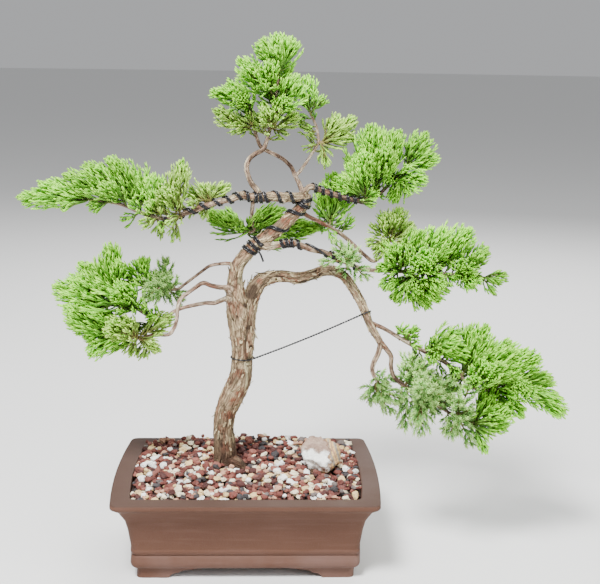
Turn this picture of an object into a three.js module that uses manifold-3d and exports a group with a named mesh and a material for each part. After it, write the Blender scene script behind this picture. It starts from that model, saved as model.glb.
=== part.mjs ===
// Japanese garden juniper trained as a bonsai, in its rectangular stoneware pot.
// Millimetres, +Z up, +X along the pot's long side, the front of the tree towards -Y.
// The origin lies on the surface that the pot stands on, under the middle of the whole tree,
// which reaches further to the right of the pot than to the left.
import * as THREE from 'three';
import { mergeVertices } from 'three/addons/utils/BufferGeometryUtils.js';
import Module from 'manifold-3d';

const wasm = await Module();
wasm.setup();

// Driving dimensions
const POT_LENGTH = 317;
const POT_DEPTH = 225;
const POT_BOW = 4.5; // how far the short sides swell outwards in plan
const CORNER_RADIUS = 7;
const FOOT_HEIGHT = 12;
const FOOT_THICKNESS = 14;
const FRONT_ARCH = 89; // half the width of the openings between the feet
const SIDE_ARCH = 54;
const DRAIN_DIAMETER = 22;
const DRAIN_SPACING = 130;
const SOIL_TOP = 84;
const GAP = 0.35; // clearance between pieces that touch on the real tree
const SLAB_HALF_LENGTH = 150; // the gravel before it is cut to the pot's inside
const SLAB_HALF_DEPTH = 104;
const SLAB_EDGE_HEIGHT = 96;
const PEBBLE_PITCH = 11.8;
const PEBBLE_HEIGHT = 5;
const PEBBLE_SHIFT = 1.3;
const ROCK_SIZE = [49, 52, 52];
const ROCK_CENTRE = [89.5, 5, 112];
const ROCK_ROOM = 0.6;
const TRUNK_ROOM = 0.45; // round the trunk in the soil and gravel
const TREE_MIDDLE = 56.5; // the middle of the tree's spread, measured from the pot's centre
const LEADER_RADIUS = 1.6;
const LEADER_TAPER = 0.45;
const SEAT_REACH = 4.2; // the stretch of a leader that lies close to its own limb
const WHORL_SPACING = 6.8;
const FIRST_WHORL = 0.18; // as a share of the leader's length
const LAST_WHORL = 0.86;
const WHORL_TWIST = 0.3; // each whorl of three cords is turned on by this beyond a sixth of a turn
const CORD_ROOM = 1.25; // the radius that is kept clear round a cord
const CORD_LIFT = 0.3; // how much the cords turn upwards
const FIRST_CORD_ANGLE = 60; // degrees between a leader and its cords, at the first and last whorl
const LAST_CORD_ANGLE = 30;
const SHORTEST_CORD = 4;
const RAGGED_FROM = 0.84; // the cords' lengths vary between these shares of the plume's outline
const RAGGED_TO = 1.02;
const PLUME_ROUND = 0.46; // the share of a plume's length that its rounded outline takes up
const BEND_STEP = 0.14; // a leader's trial bends, as shares of its length
const BEND_RINGS = 4;
const BENDS_A_RING = 8;
const SEED = 7;

// The pot's skin from the foot up the outside, over the rim and down the inside:
// height, and how far the outline is drawn in from the rim's edge.
const POT_PROFILE = [
  [0, 27.5], [FOOT_HEIGHT, 28], [14, 23.5], [17, 21.4], [21, 20.8], [28.5, 22.2], [29.8, 23.8],
  [31.5, 22], [35.5, 21], [37.5, 22], [49, 20.4], [62, 18.5], [74, 15.7], [80, 12.4], [88, 8], [93, 1.6],
  [94.5, 0], [99.2, 0], [100, 0.8], [100, 20.7], [99, 21.5], [90, 22.3], [74, 24.5], [38, 30.5], [20, 31.5],
];

// Wood: each limb's route in points of x, y, z and radius, measured from the pot's centre.
const LIMBS = {
  trunk: {
    sides: 10,
    lobes: 0.09,
    route: [
      [-27, 14, 62, 13], [-27, 14, 90, 14], [-27, 14, 102, 13.6], [-27, 14, 116, 13.2], [-28, 14, 133, 12.8],
      [-29, 14, 152, 12], [-26, 14, 171, 12.4], [-18, 13, 191, 13.8], [-10, 12, 210, 13.2],
      [-7, 12, 229, 12.1], [-6, 12, 248, 12.4], [-7, 11, 267, 13.5], [-9, 10, 285, 14.5],
      [-12, 9, 304, 13.7], [-15, 8, 322, 10.7], [-15, 7, 337, 8.5], [-12, 6, 352, 7.8], [-3, 5, 365, 7.4],
      [7, 5, 376, 7.3], [19, 6, 384, 7.3], [33, 8, 394, 7.2], [47, 10, 407, 6.8], [58, 11, 417, 6.3],
      [66, 11, 426, 6.1], [67, 10, 436, 5.6],
    ],
  },
  crown: {
    sides: 6,
    route: [
      [67, 10, 434, 5.4], [57, 9, 433, 5.4], [44, 8, 433, 5.4], [28, 5, 434, 5.2], [14, 3, 433, 4.8],
      [2, 1, 434, 4.3], [-8, -1, 436, 4.1], [-19, -3, 432, 3.6], [-32, -5, 429, 3.2], [-47, -8, 425, 3.1],
      [-61, -10, 420, 3.1], [-77, -12, 414, 2.7], [-91, -14, 410, 2.5], [-107, -15, 412, 2.3],
      [-123, -15, 417, 2.1], [-139, -14, 424, 1.9], [-155, -13, 428, 1.8], [-171, -12, 430, 1.7],
    ],
  },
  right_arm: {
    sides: 7,
    lobes: 0.07,
    route: [
      [-4, 9, 230, 5], [0, 6, 248, 6.5], [1, 5, 267, 7.2], [0, 8, 284, 9], [1, 12, 303, 10.1], [6, 15, 318, 9.5],
      [14, 18, 330, 8.6], [26, 21, 335, 7.5], [43, 24, 336, 6.8], [60, 24, 334, 6.8], [75, 22, 338, 6.2], [89, 18, 344, 6.2], [102, 14, 345, 5.9],
      [113, 10, 340, 5.5], [121, 6, 331, 5.3], [129, 1, 319, 5.2], [135, -3, 308, 5], [140, -7, 296, 4.7],
      [145, -11, 284, 4.4], [153, -14, 271, 4], [157, -16, 264, 3.5],
    ],
  },
  root: {
    sides: 6,
    route: [
      [-27, 13, 103, 9], [-18, 9, 106, 8.5], [-9, 6, 104, 6.5], [-3, 4, 99, 4],
    ],
  },
  fork_left: {
    sides: 4,
    route: [
      [157, -16, 266, 3.2], [154, -19, 253, 3.1], [149, -22, 243, 2.9], [147, -24, 234, 2.6],
      [152, -26, 222, 2.2], [161, -28, 212, 1.9],
    ],
  },
  fork_middle: {
    sides: 4,
    route: [
      [157, -16, 266, 3.2], [165, -16, 256, 3], [170, -16, 248, 2.8], [170, -17, 236, 2.6],
      [174, -19, 224, 2.5], [186, -22, 214, 2.4], [204, -26, 203, 2.3], [226, -30, 192, 2.1],
      [246, -32, 180, 1.9], [262, -34, 173, 1.7],
    ],
  },
  fork_top: {
    sides: 4,
    route: [
      [144, -10, 288, 2.8], [156, -8, 283, 2.5], [167, -7, 277, 2.4], [177, -8, 271, 2.4],
      [192, -12, 263, 2.4], [213, -18, 253, 2.4], [234, -24, 243, 2.4], [251, -28, 228, 2.4],
      [266, -30, 215, 2.3], [287, -30, 212, 2.1], [308, -30, 214, 1.8],
    ],
  },
  low_left_a: {
    sides: 4,
    route: [
      [-13, 6, 352, 2.6], [-22, 8, 354, 2.4], [-33, 11, 353, 2.1], [-45, 14, 350, 2], [-53, 17, 344, 1.9],
      [-64, 20, 335, 1.8], [-75, 23, 326, 1.8], [-85, 25, 319, 1.8], [-101, 26, 319, 1.7],
      [-117, 26, 320, 1.6],
    ],
  },
  low_left_b: {
    sides: 4,
    route: [
      [-16, 7, 326, 3.3], [-30, 0, 327, 2.9], [-42, -5, 330, 2.7], [-52, -9, 334, 2.7], [-61, -13, 329, 2.4],
      [-71, -16, 322, 2.3], [-78, -18, 316, 2.3], [-81, -19, 305, 2.2], [-82, -20, 293, 2.2],
      [-85, -21, 283, 2.2], [-92, -22, 275, 2.1], [-108, -23, 275, 1.9], [-127, -24, 271, 1.8],
      [-145, -25, 274, 1.6],
    ],
  },
  low_left_c: {
    sides: 4,
    route: [
      [-15, 8, 315, 3.6], [-28, 7, 311, 3], [-39, 6, 307, 2.7], [-50, 4, 307, 2.4], [-63, 2, 305, 2.4],
      [-76, 0, 302, 2.2], [-88, -1, 297, 2.2], [-98, -2, 289, 2.2], [-112, -2, 290, 2], [-129, -2, 300, 1.8],
      [-145, -2, 307, 1.6],
    ],
  },
  loop_left: {
    sides: 4,
    route: [
      [16, 4, 432, 3.5], [10, 3, 442, 3.4], [4, 2, 449, 3.1], [0, 2, 458, 2.9], [-2, 3, 468, 2.9],
      [1, 5, 477, 2.9], [8, 8, 483, 2.8], [17, 11, 488, 2.7], [21, 12, 498, 2.3], [25, 10, 513, 2.1],
      [28, 8, 531, 1.9], [31, 7, 551, 1.8], [34, 6, 569, 1.6],
    ],
  },
  loop_right: {
    sides: 4,
    route: [
      [64, 11, 436, 3], [59, 13, 449, 2.7], [54, 15, 458, 2.4], [50, 17, 467, 2.4], [42, 18, 475, 2.3],
      [32, 18, 481, 2.3], [21, 17, 486, 2.3], [14, 16, 491, 2.2], [10, 17, 500, 2], [6, 18, 514, 1.8],
      [4, 18, 528, 1.6],
    ],
  },
  crown_twig: {
    sides: 4,
    route: [
      [54, 15, 456, 2], [61, 17, 464, 1.9], [68, 19, 474, 1.8], [75, 21, 485, 1.7], [81, 22, 496, 1.7],
      [79, 22, 512, 1.6], [73, 21, 526, 1.5],
    ],
  },
  high_branch: {
    sides: 4,
    route: [
      [65, 11, 438, 3.5], [72, 12, 445, 3.4], [84, 15, 441, 3.2], [99, 18, 436, 3.1], [115, 20, 431, 2.8],
      [128, 22, 428, 2.6], [141, 24, 426, 2.4], [155, 26, 436, 2.2], [168, 28, 449, 2], [181, 30, 462, 1.8],
    ],
  },
  back_twig: {
    sides: 4,
    route: [
      [6, 2, 433, 2.3], [5, 10, 422, 2.3], [4, 18, 412, 2.2], [4, 25, 401, 2.1], [7, 31, 391, 1.9],
      [0, 36, 387, 1.6],
    ],
  },
  thin_branch: {
    sides: 4,
    route: [
      [61, 12, 417, 2.8], [70, 16, 410, 2.5], [82, 20, 404, 2.4], [96, 24, 396, 2.4], [112, 27, 386, 2.4],
      [126, 29, 374, 2.4], [139, 30, 362, 2.3], [151, 30, 354, 2.2], [161, 31, 363, 1.9], [168, 32, 376, 1.7],
    ],
  },
  lower_branch: {
    sides: 6,
    route: [
      [12, 5, 377, 4.9], [23, 0, 376, 4.2], [35, -4, 379, 3.8], [49, -7, 382, 3.7], [60, -9, 380, 3.5],
      [73, -10, 375, 3.2], [87, -10, 372, 3.1], [101, -8, 366, 2.9], [115, -5, 359, 2.8], [127, -1, 353, 2.7],
      [139, 3, 349, 2.5], [159, 7, 347, 2.4], [180, 9, 346, 2.3], [204, 10, 345, 2.1], [228, 10, 344, 1.9],
      [252, 10, 342, 1.8], [274, 10, 340, 1.6],
    ],
  },
};

// Training wires: the limb that each is wound round, the wire's radius, and its winding in points
// of limb station and turns made so far. Where two points differ little in turns, the wire runs
// straight on, past a fork.
const WIRES = [
  { name: 'wire_left_branch', limb: 'crown', radius: 1.3,
    winding: [[1.3, 0.4], [3.3, 3.4], [5.3, 3.5], [12.3, 10.6]] },
  { name: 'wire_trunk_top', limb: 'trunk', radius: 1.5, winding: [[19.9, 0], [21.4, 4.5]] },
  { name: 'wire_high_branch', limb: 'high_branch', radius: 1.2, winding: [[1.6, 0], [4.9, 4.5]] },
  { name: 'wire_lower_branch', limb: 'lower_branch', radius: 1.3, winding: [[2.3, 0], [9.3, 7.5]] },
];
const WIRE_STEPS_A_TURN = 8;
const GUY_WIRE_RADIUS = 0.9;
const GUY_TRUNK_STATION = 9.5;
const GUY_LIMB_STATION = 16.8;

// Foliage: the limb and station that each spray springs from, and its plumes. A plume is given by
// the x, y and z of its tip and by its half width.
const SPRAYS = [
  { name: 'spray_apex_top', limb: 'loop_left', station: 12,
    plumes: [[30, 6, 621, 17], [50, 20, 615, 14], [9, -8, 609, 15]] },
  { name: 'spray_apex_front', limb: 'loop_left', station: 11,
    plumes: [[21, -42, 587, 18], [-12, -12, 592, 13]] },
  { name: 'spray_apex_back', limb: 'loop_left', station: 10.5,
    plumes: [[42, 52, 595, 20], [8, 46, 575, 16]] },
  { name: 'spray_apex_left', limb: 'loop_right', station: 10,
    plumes: [[-26, 12, 566, 13], [-45, 4, 554, 8], [-11, -30, 545, 13]] },
  { name: 'spray_apex_low_left', limb: 'loop_right', station: 9,
    plumes: [[-41, -2, 534, 9], [-21, -6, 514, 8], [1, 50, 528, 16]] },
  { name: 'spray_apex_right', limb: 'loop_left', station: 10,
    plumes: [[56, 8, 563, 15], [40, -34, 546, 14]] },
  { name: 'spray_apex_low_right', limb: 'loop_left', station: 9,
    plumes: [[59, 14, 530, 12], [18, -38, 537, 14], [45, -4, 504, 12]] },
  { name: 'spray_crown_plume', limb: 'crown_twig', station: 6,
    plumes: [[68, 20, 574, 8], [86, 14, 551, 12]] },
  { name: 'spray_crown_fan', limb: 'crown_twig', station: 4,
    plumes: [[106, 28, 529, 13], [124, 22, 525, 12], [120, 18, 503, 7]] },
  { name: 'spray_high_left', limb: 'high_branch', station: 6,
    plumes: [[115, 28, 481, 12], [132, -8, 490, 11]] },
  { name: 'spray_high_middle', limb: 'high_branch', station: 7,
    plumes: [[141, 18, 518, 17], [158, -22, 492, 15]] },
  { name: 'spray_high_right', limb: 'high_branch', station: 8,
    plumes: [[175, 26, 511, 17], [173, 70, 494, 17], [208, 8, 453, 13]] },
  { name: 'spray_high_tip', limb: 'high_branch', station: 9,
    plumes: [[209, 30, 508, 16], [224, 26, 477, 15]] },
  { name: 'spray_back_low', limb: 'back_twig', station: 5,
    plumes: [[-53, 58, 396, 11], [48, 70, 395, 12]] },
  { name: 'spray_back_right', limb: 'thin_branch', station: 3,
    plumes: [[118, 52, 418, 11], [77, 56, 388, 9], [108, 62, 449, 10]] },
  { name: 'spray_middle_feather', limb: 'thin_branch', station: 9,
    plumes: [[183, 34, 418, 13], [156, 20, 410, 11], [201, 50, 392, 14]] },
  { name: 'spray_middle_left', limb: 'lower_branch', station: 12,
    plumes: [[206, 2, 395, 14], [166, -24, 382, 13]] },
  { name: 'spray_middle_front', limb: 'lower_branch', station: 13,
    plumes: [[234, 10, 398, 14], [200, -46, 368, 15]] },
  { name: 'spray_middle_back', limb: 'lower_branch', station: 14,
    plumes: [[262, 14, 394, 13], [251, 66, 365, 16]] },
  { name: 'spray_middle_low', limb: 'lower_branch', station: 12.6,
    plumes: [[178, 2, 311, 12], [217, 4, 304, 12], [203, 46, 322, 12]] },
  { name: 'spray_middle_right', limb: 'lower_branch', station: 15,
    plumes: [[286, 14, 375, 12], [245, -40, 360, 15], [274, 58, 324, 13]] },
  { name: 'spray_middle_tip', limb: 'lower_branch', station: 16,
    plumes: [[311, 10, 336, 11], [295, 4, 317, 10]] },
  { name: 'spray_middle_inner', limb: 'lower_branch', station: 8,
    plumes: [[99, -16, 387, 8], [122, -24, 377, 9]] },
  { name: 'spray_low_stray', limb: 'fork_left', station: 4.2,
    plumes: [[141, -20, 191, 10], [172, -26, 179, 11], [183, -46, 202, 11]] },
  { name: 'spray_low_sprig', limb: 'fork_top', station: 3.7,
    plumes: [[174, -12, 285, 6], [204, -12, 285, 6]] },
  { name: 'spray_low_inner', limb: 'fork_middle', station: 5,
    plumes: [[190, -28, 257, 15], [188, -22, 158, 13]] },
  { name: 'spray_low_front', limb: 'fork_middle', station: 6,
    plumes: [[198, -80, 234, 16], [207, -40, 157, 12]] },
  { name: 'spray_low_hollow', limb: 'fork_middle', station: 7,
    plumes: [[225, 30, 190, 16], [206, 24, 168, 13]] },
  { name: 'spray_low_hanging', limb: 'fork_middle', station: 8,
    plumes: [[270, -34, 142, 10], [289, -64, 213, 16], [234, -68, 166, 13]] },
  { name: 'spray_low_fan', limb: 'fork_middle', station: 9,
    plumes: [[310, -34, 165, 16], [288, -30, 129, 7]] },
  { name: 'spray_low_top_left', limb: 'fork_top', station: 5,
    plumes: [[227, -16, 274, 12], [255, -6, 268, 14], [214, -60, 254, 14]] },
  { name: 'spray_low_top', limb: 'fork_top', station: 7,
    plumes: [[271, -26, 285, 17], [280, 42, 238, 17]] },
  { name: 'spray_low_top_right', limb: 'fork_top', station: 8,
    plumes: [[299, -34, 268, 17], [273, -86, 255, 16]] },
  { name: 'spray_low_outer', limb: 'fork_top', station: 9,
    plumes: [[336, -28, 251, 16], [334, -38, 186, 13], [340, 32, 205, 15]] },
  { name: 'spray_low_tip', limb: 'fork_top', station: 10,
    plumes: [[377, -32, 185, 13], [361, -24, 223, 14], [317, -78, 225, 13]] },
  { name: 'spray_left_top', limb: 'low_left_a', station: 9,
    plumes: [[-124, 22, 360, 15], [-163, 48, 340, 16]] },
  { name: 'spray_left_top_right', limb: 'low_left_a', station: 8,
    plumes: [[-99, 14, 359, 13], [-120, 78, 319, 15], [-75, 40, 297, 9]] },
  { name: 'spray_left_crest', limb: 'low_left_c', station: 10,
    plumes: [[-162, -2, 372, 16], [-197, -4, 357, 15], [-193, 54, 299, 17]] },
  { name: 'spray_left_tip', limb: 'low_left_c', station: 9,
    plumes: [[-227, -8, 324, 15], [-143, -62, 341, 16]] },
  { name: 'spray_left_outer', limb: 'low_left_c', station: 8,
    plumes: [[-211, -14, 288, 15], [-118, -50, 327, 13]] },
  { name: 'spray_left_low', limb: 'low_left_b', station: 13,
    plumes: [[-185, -26, 249, 13], [-212, -30, 310, 13]] },
  { name: 'spray_left_low_right', limb: 'low_left_b', station: 12,
    plumes: [[-136, -30, 249, 10], [-156, -72, 300, 15], [-99, -26, 255, 8]] },
  { name: 'spray_branch_tip', limb: 'crown', station: 17,
    plumes: [[-264, -12, 432, 9], [-240, -8, 450, 9]] },
  { name: 'spray_branch_outer', limb: 'crown', station: 16,
    plumes: [[-210, -16, 461, 10], [-181, -20, 418, 7]] },
  { name: 'spray_branch_outer_top', limb: 'crown', station: 15,
    plumes: [[-188, -10, 472, 11], [-165, -46, 452, 10]] },
  { name: 'spray_branch_crest', limb: 'crown', station: 14,
    plumes: [[-160, -14, 481, 12], [-159, 20, 452, 11]] },
  { name: 'spray_branch_middle', limb: 'crown', station: 12.8,
    plumes: [[-137, -2, 464, 11], [-107, -10, 463, 11]] },
  { name: 'spray_branch_hanging', limb: 'crown', station: 12.8,
    plumes: [[-117, -22, 394, 6], [-85, -20, 391, 6]] },
  { name: 'spray_branch_inner', limb: 'crown', station: 11,
    plumes: [[-75, -10, 479, 10], [-97, -46, 447, 10]] },
  { name: 'spray_branch_base', limb: 'crown', station: 9,
    plumes: [[-48, -4, 451, 10], [-69, 26, 436, 10], [-19, 0, 449, 7]] },
];

// Colours and finishes
const MATERIALS = {
  stoneware: { color: 0x5b4742, roughness: 0.72, metalness: 0 },
  soil: { color: 0x3a2c22, roughness: 0.98, metalness: 0 },
  gravel: { color: 0x8c6659, roughness: 0.92, metalness: 0 },
  rock: { color: 0xcdaea0, roughness: 0.85, metalness: 0 },
  bark: { color: 0x8a6f5c, roughness: 0.95, metalness: 0 },
  wire: { color: 0x1d1c1e, roughness: 0.45, metalness: 0.7 },
  foliage: { color: 0x5c8f3c, roughness: 0.6, metalness: 0 },
};

const tree = new THREE.Group();

// Solids and meshes

function solidFrom(geometry) {
  const bare = geometry.clone();
  bare.deleteAttribute('normal');
  bare.deleteAttribute('uv');
  const merged = mergeVertices(bare, 1e-4);
  return new wasm.Manifold(new wasm.Mesh({
    numProp: 3,
    vertProperties: merged.attributes.position.array,
    triVerts: new Uint32Array(merged.index.array),
  }));
}

function joined(solids) {
  return solids.reduce((whole, solid) => whole.add(solid));
}

function addPiece(name, solid, materialName) {
  const mesh = solid.getMesh();
  const geometry = new THREE.BufferGeometry();
  geometry.setAttribute('position', new THREE.BufferAttribute(mesh.vertProperties, 3));
  geometry.setIndex(new THREE.BufferAttribute(mesh.triVerts, 1));
  geometry.computeVertexNormals();
  const material = new THREE.MeshStandardMaterial({ ...MATERIALS[materialName], flatShading: true });
  const piece = new THREE.Mesh(geometry, material);
  piece.name = name;
  tree.add(piece);
  return piece;
}

// A closed skin through rings of points, each ring anticlockwise seen from the end of the skin.
function loft(rings) {
  const count = rings[0].length;
  const index = [];
  for (let ring = 0; ring < rings.length - 1; ring += 1) {
    for (let side = 0; side < count; side += 1) {
      const here = ring * count + side;
      const next = ring * count + (side + 1) % count;
      index.push(here, next, next + count, here, next + count, here + count);
    }
  }
  const last = (rings.length - 1) * count;
  for (let side = 1; side < count - 1; side += 1) {
    index.push(0, side + 1, side);
    index.push(last, last + side, last + side + 1);
  }
  const geometry = new THREE.BufferGeometry();
  const positions = rings.flat().flatMap((point) => point.toArray());
  geometry.setAttribute('position', new THREE.Float32BufferAttribute(positions, 3));
  geometry.setIndex(index);
  return geometry;
}

// The pot, its soil, the gravel and the rock

// The pot's plan at a height, drawn in by inset from the rim's edge, anticlockwise from above.
function potOutline(height, inset) {
  const halfLength = POT_LENGTH / 2 - POT_BOW - inset;
  const halfDepth = POT_DEPTH / 2 - inset;
  const straight = halfDepth - CORNER_RADIUS;
  const points = [];
  for (let corner = 0; corner < 4; corner += 1) {
    const sideX = corner === 0 || corner === 3 ? 1 : -1;
    const sideY = corner < 2 ? 1 : -1;
    for (let step = 0; step <= 2; step += 1) {
      const angle = (corner + step / 2) * Math.PI / 2;
      points.push(new THREE.Vector3(
        sideX * (halfLength - CORNER_RADIUS) + CORNER_RADIUS * Math.cos(angle),
        sideY * straight + CORNER_RADIUS * Math.sin(angle),
        height,
      ));
    }
    if (corner % 2 === 1) {
      for (const share of [-0.4, 0.4]) {
        const x = sideX * (halfLength + POT_BOW * (1 - share * share));
        points.push(new THREE.Vector3(x, -sideY * share * straight, height));
      }
    }
  }
  return points;
}

// The cloud-shaped opening between two feet, cut right through the foot ring.
function footArch(halfWidth, through) {
  const shape = new THREE.Shape();
  shape.moveTo(-halfWidth, -1);
  shape.lineTo(halfWidth, -1);
  shape.lineTo(halfWidth, 0);
  shape.quadraticCurveTo(halfWidth - 2, 6, halfWidth - 11, 6);
  shape.quadraticCurveTo(halfWidth - 14, 10, halfWidth - 28, 10);
  shape.quadraticCurveTo(halfWidth - 32, FOOT_HEIGHT, halfWidth - 42, FOOT_HEIGHT);
  shape.lineTo(42 - halfWidth, FOOT_HEIGHT);
  shape.quadraticCurveTo(32 - halfWidth, FOOT_HEIGHT, 28 - halfWidth, 10);
  shape.quadraticCurveTo(14 - halfWidth, 10, 11 - halfWidth, 6);
  shape.quadraticCurveTo(2 - halfWidth, 6, -halfWidth, 0);
  const arch = new THREE.ExtrudeGeometry(shape, { depth: through, bevelEnabled: false, curveSegments: 2 });
  return arch.translate(0, 0, -through / 2).rotateX(Math.PI / 2);
}

function makePot() {
  let pot = solidFrom(loft(POT_PROFILE.map(([height, inset]) => potOutline(height, inset))));
  const footInset = POT_PROFILE[1][1] + FOOT_THICKNESS;
  const under = new THREE.BoxGeometry(POT_LENGTH - 2 * footInset, POT_DEPTH - 2 * footInset, 2 * FOOT_HEIGHT);
  pot = pot.subtract(solidFrom(under));
  pot = pot.subtract(solidFrom(footArch(FRONT_ARCH, POT_DEPTH)));
  pot = pot.subtract(solidFrom(footArch(SIDE_ARCH, POT_LENGTH).rotateZ(Math.PI / 2)));
  for (const side of [-1, 1]) {
    const drain = new THREE.CylinderGeometry(DRAIN_DIAMETER / 2, DRAIN_DIAMETER / 2, 20, 16);
    drain.rotateX(Math.PI / 2).translate(side * DRAIN_SPACING / 2, 0, FOOT_HEIGHT + 4);
    pot = pot.subtract(solidFrom(drain));
  }
  addPiece('pot', pot, 'stoneware');
}

// The inside of the pot between two heights, less the clearance.
function potFilling(bottom, top) {
  const inside = POT_PROFILE.slice(-5).reverse();
  const insetAt = (height) => {
    const above = inside.findIndex(([level]) => level >= height);
    if (above < 1) return above === 0 ? inside[0][1] : inside.at(-1)[1];
    const [lowLevel, lowInset] = inside[above - 1];
    const [highLevel, highInset] = inside[above];
    return THREE.MathUtils.mapLinear(height, lowLevel, highLevel, lowInset, highInset);
  };
  const between = inside.map(([level]) => level).filter((level) => level > bottom && level < top);
  const levels = [bottom, ...between, top];
  return solidFrom(loft(levels.map((level) => potOutline(level, insetAt(level) + GAP))));
}

// The height of the heaped gravel, without its pebbles.
function gravelHeight(x, y) {
  const back = THREE.MathUtils.clamp((y + 92) / 184, 0, 1);
  const middle = 1 - (x / 132) ** 2;
  return 95 + 5 * back + 8 * back * Math.max(middle, 0);
}

// A slab whose top is a triangular net with every third knot raised as a pebble.
function pebbleSlab(halfLength, halfDepth, bottom) {
  const rowStep = PEBBLE_PITCH * Math.sqrt(3) / 2;
  const columns = Math.ceil(2 * halfLength / PEBBLE_PITCH);
  const rows = 2 * Math.ceil(halfDepth / rowStep);
  const positions = [];
  const index = [];
  THREE.MathUtils.seededRandom(SEED);
  const jitter = (size) => size * (2 * THREE.MathUtils.seededRandom() - 1);
  for (let row = 0; row <= rows; row += 1) {
    for (let column = 0; column <= columns; column += 1) {
      const edge = row === 0 || row === rows || column === 0 || column === columns;
      const knot = column - (row - row % 2) / 2 - row;
      const raised = ((knot % 3) + 3) % 3 === 0;
      const shift = edge ? 0 : (row % 2) * PEBBLE_PITCH / 2;
      const x = -halfLength + column * PEBBLE_PITCH + shift + (edge ? 0 : jitter(PEBBLE_SHIFT));
      const y = -rows * rowStep / 2 + row * rowStep + (edge ? 0 : jitter(PEBBLE_SHIFT));
      const pebble = raised ? PEBBLE_HEIGHT + jitter(1.4) : jitter(0.5);
      positions.push(x, y, edge ? SLAB_EDGE_HEIGHT : gravelHeight(x, y) + pebble);
    }
  }
  const knotAt = (row, column) => row * (columns + 1) + column;
  for (let row = 0; row < rows; row += 1) {
    for (let column = 0; column < columns; column += 1) {
      const a = knotAt(row, column);
      const b = knotAt(row, column + 1);
      const c = knotAt(row + 1, column);
      const d = knotAt(row + 1, column + 1);
      if (row % 2 === 0) index.push(a, b, c, b, d, c);
      else index.push(a, b, d, a, d, c);
    }
  }
  const corners = [knotAt(0, 0), knotAt(0, columns), knotAt(rows, columns), knotAt(rows, 0)];
  const base = positions.length / 3;
  for (const corner of corners) positions.push(positions[3 * corner], positions[3 * corner + 1], bottom);
  index.push(base, base + 2, base + 1, base, base + 3, base + 2);
  const front = Array.from({ length: columns + 1 }, (_, column) => knotAt(0, column));
  const right = Array.from({ length: rows + 1 }, (_, row) => knotAt(row, columns));
  const back = Array.from({ length: columns + 1 }, (_, column) => knotAt(rows, columns - column));
  const left = Array.from({ length: rows + 1 }, (_, row) => knotAt(rows - row, 0));
  [front, right, back, left].forEach((edge, side) => {
    const foot = base + side;
    for (let step = 0; step < edge.length - 1; step += 1) index.push(foot, edge[step + 1], edge[step]);
    index.push(foot, base + (side + 1) % 4, edge.at(-1));
  });
  const geometry = new THREE.BufferGeometry();
  geometry.setAttribute('position', new THREE.Float32BufferAttribute(positions, 3));
  geometry.setIndex(index);
  return solidFrom(geometry);
}

// A worn stone; grown adds to its size all round.
function rockSolid(grown) {
  const stone = new THREE.IcosahedronGeometry(1, 1);
  stone.deleteAttribute('normal');
  stone.deleteAttribute('uv');
  const rounded = mergeVertices(stone, 1e-4);
  const place = rounded.attributes.position;
  THREE.MathUtils.seededRandom(SEED + 1);
  for (let corner = 0; corner < place.count; corner += 1) {
    const point = new THREE.Vector3().fromBufferAttribute(place, corner);
    point.multiplyScalar(0.96 + 0.12 * THREE.MathUtils.seededRandom());
    point.z = THREE.MathUtils.clamp(point.z, -0.8, 0.9);
    place.setXYZ(corner, point.x, point.y, point.z);
  }
  const [length, depth, height] = ROCK_SIZE;
  rounded.scale(length / 2 + grown, depth / 2 + grown, height / 2 + grown);
  rounded.rotateZ(0.4);
  rounded.translate(...ROCK_CENTRE);
  return solidFrom(rounded);
}

function makeFilling() {
  const trunkHole = limbSolid(LIMBS.trunk, TRUNK_ROOM);
  const rootHole = limbSolid(LIMBS.root, TRUNK_ROOM);
  addPiece('soil', potFilling(20 + GAP, SOIL_TOP).subtract(trunkHole), 'soil');
  const slab = pebbleSlab(SLAB_HALF_LENGTH, SLAB_HALF_DEPTH, SOIL_TOP - 5);
  const bed = slab.intersect(potFilling(SOIL_TOP + GAP, 130));
  addPiece('gravel', bed.subtract(trunkHole).subtract(rootHole).subtract(rockSolid(ROCK_ROOM)), 'gravel');
  addPiece('rock', rockSolid(0), 'rock');
}

// Wood

const pointOf = ([x, y, z]) => new THREE.Vector3(x, y, z);

// The frame at each point of a route: the way it runs and two directions across it, carried
// along without twist from the first frame.
function routeFrames(points, first) {
  const frames = first ? [first] : [];
  points.forEach((point, place) => {
    if (place < frames.length) return;
    const before = points[Math.max(place - 1, 0)];
    const after = points[Math.min(place + 1, points.length - 1)];
    const along = after.clone().sub(before).normalize();
    let across = new THREE.Vector3(0, 1, 0);
    if (frames.length) across = frames.at(-1).across;
    else if (Math.abs(along.y) > 0.9) across = new THREE.Vector3(1, 0, 0);
    across = across.clone().addScaledVector(along, -across.dot(along)).normalize();
    frames.push({ point, along, across, beside: along.clone().cross(across) });
  });
  return frames;
}

function ringAt(frame, radiusAt, sides) {
  return Array.from({ length: sides }, (_, side) => {
    const angle = side / sides * 2 * Math.PI;
    return frame.point.clone()
      .addScaledVector(frame.across, radiusAt(angle) * Math.cos(angle))
      .addScaledVector(frame.beside, radiusAt(angle) * Math.sin(angle));
  });
}

// The corners of a polygon lie this much outside the round limb that it stands for.
const cornerShare = (sides) => 2 / (1 + Math.cos(Math.PI / sides));

// A limb as a closed solid; grown adds to its radius, and lobes makes its section fluted.
function limbSolid({ route, sides, lobes = 0 }, grown = 0) {
  const points = route.map(pointOf);
  if (grown) points[0].z -= grown;
  const rings = routeFrames(points).map((frame, place) => {
    const radius = route[place][3] * cornerShare(sides);
    const radiusAt = (angle) => radius * (1 + lobes * Math.cos(3 * angle + place / 3)) + grown;
    return ringAt(frame, radiusAt, sides);
  });
  return solidFrom(loft(rings));
}

function makeTrunk() {
  return addPiece('trunk', joined(Object.values(LIMBS).map((limb) => limbSolid(limb))), 'bark');
}

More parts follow.
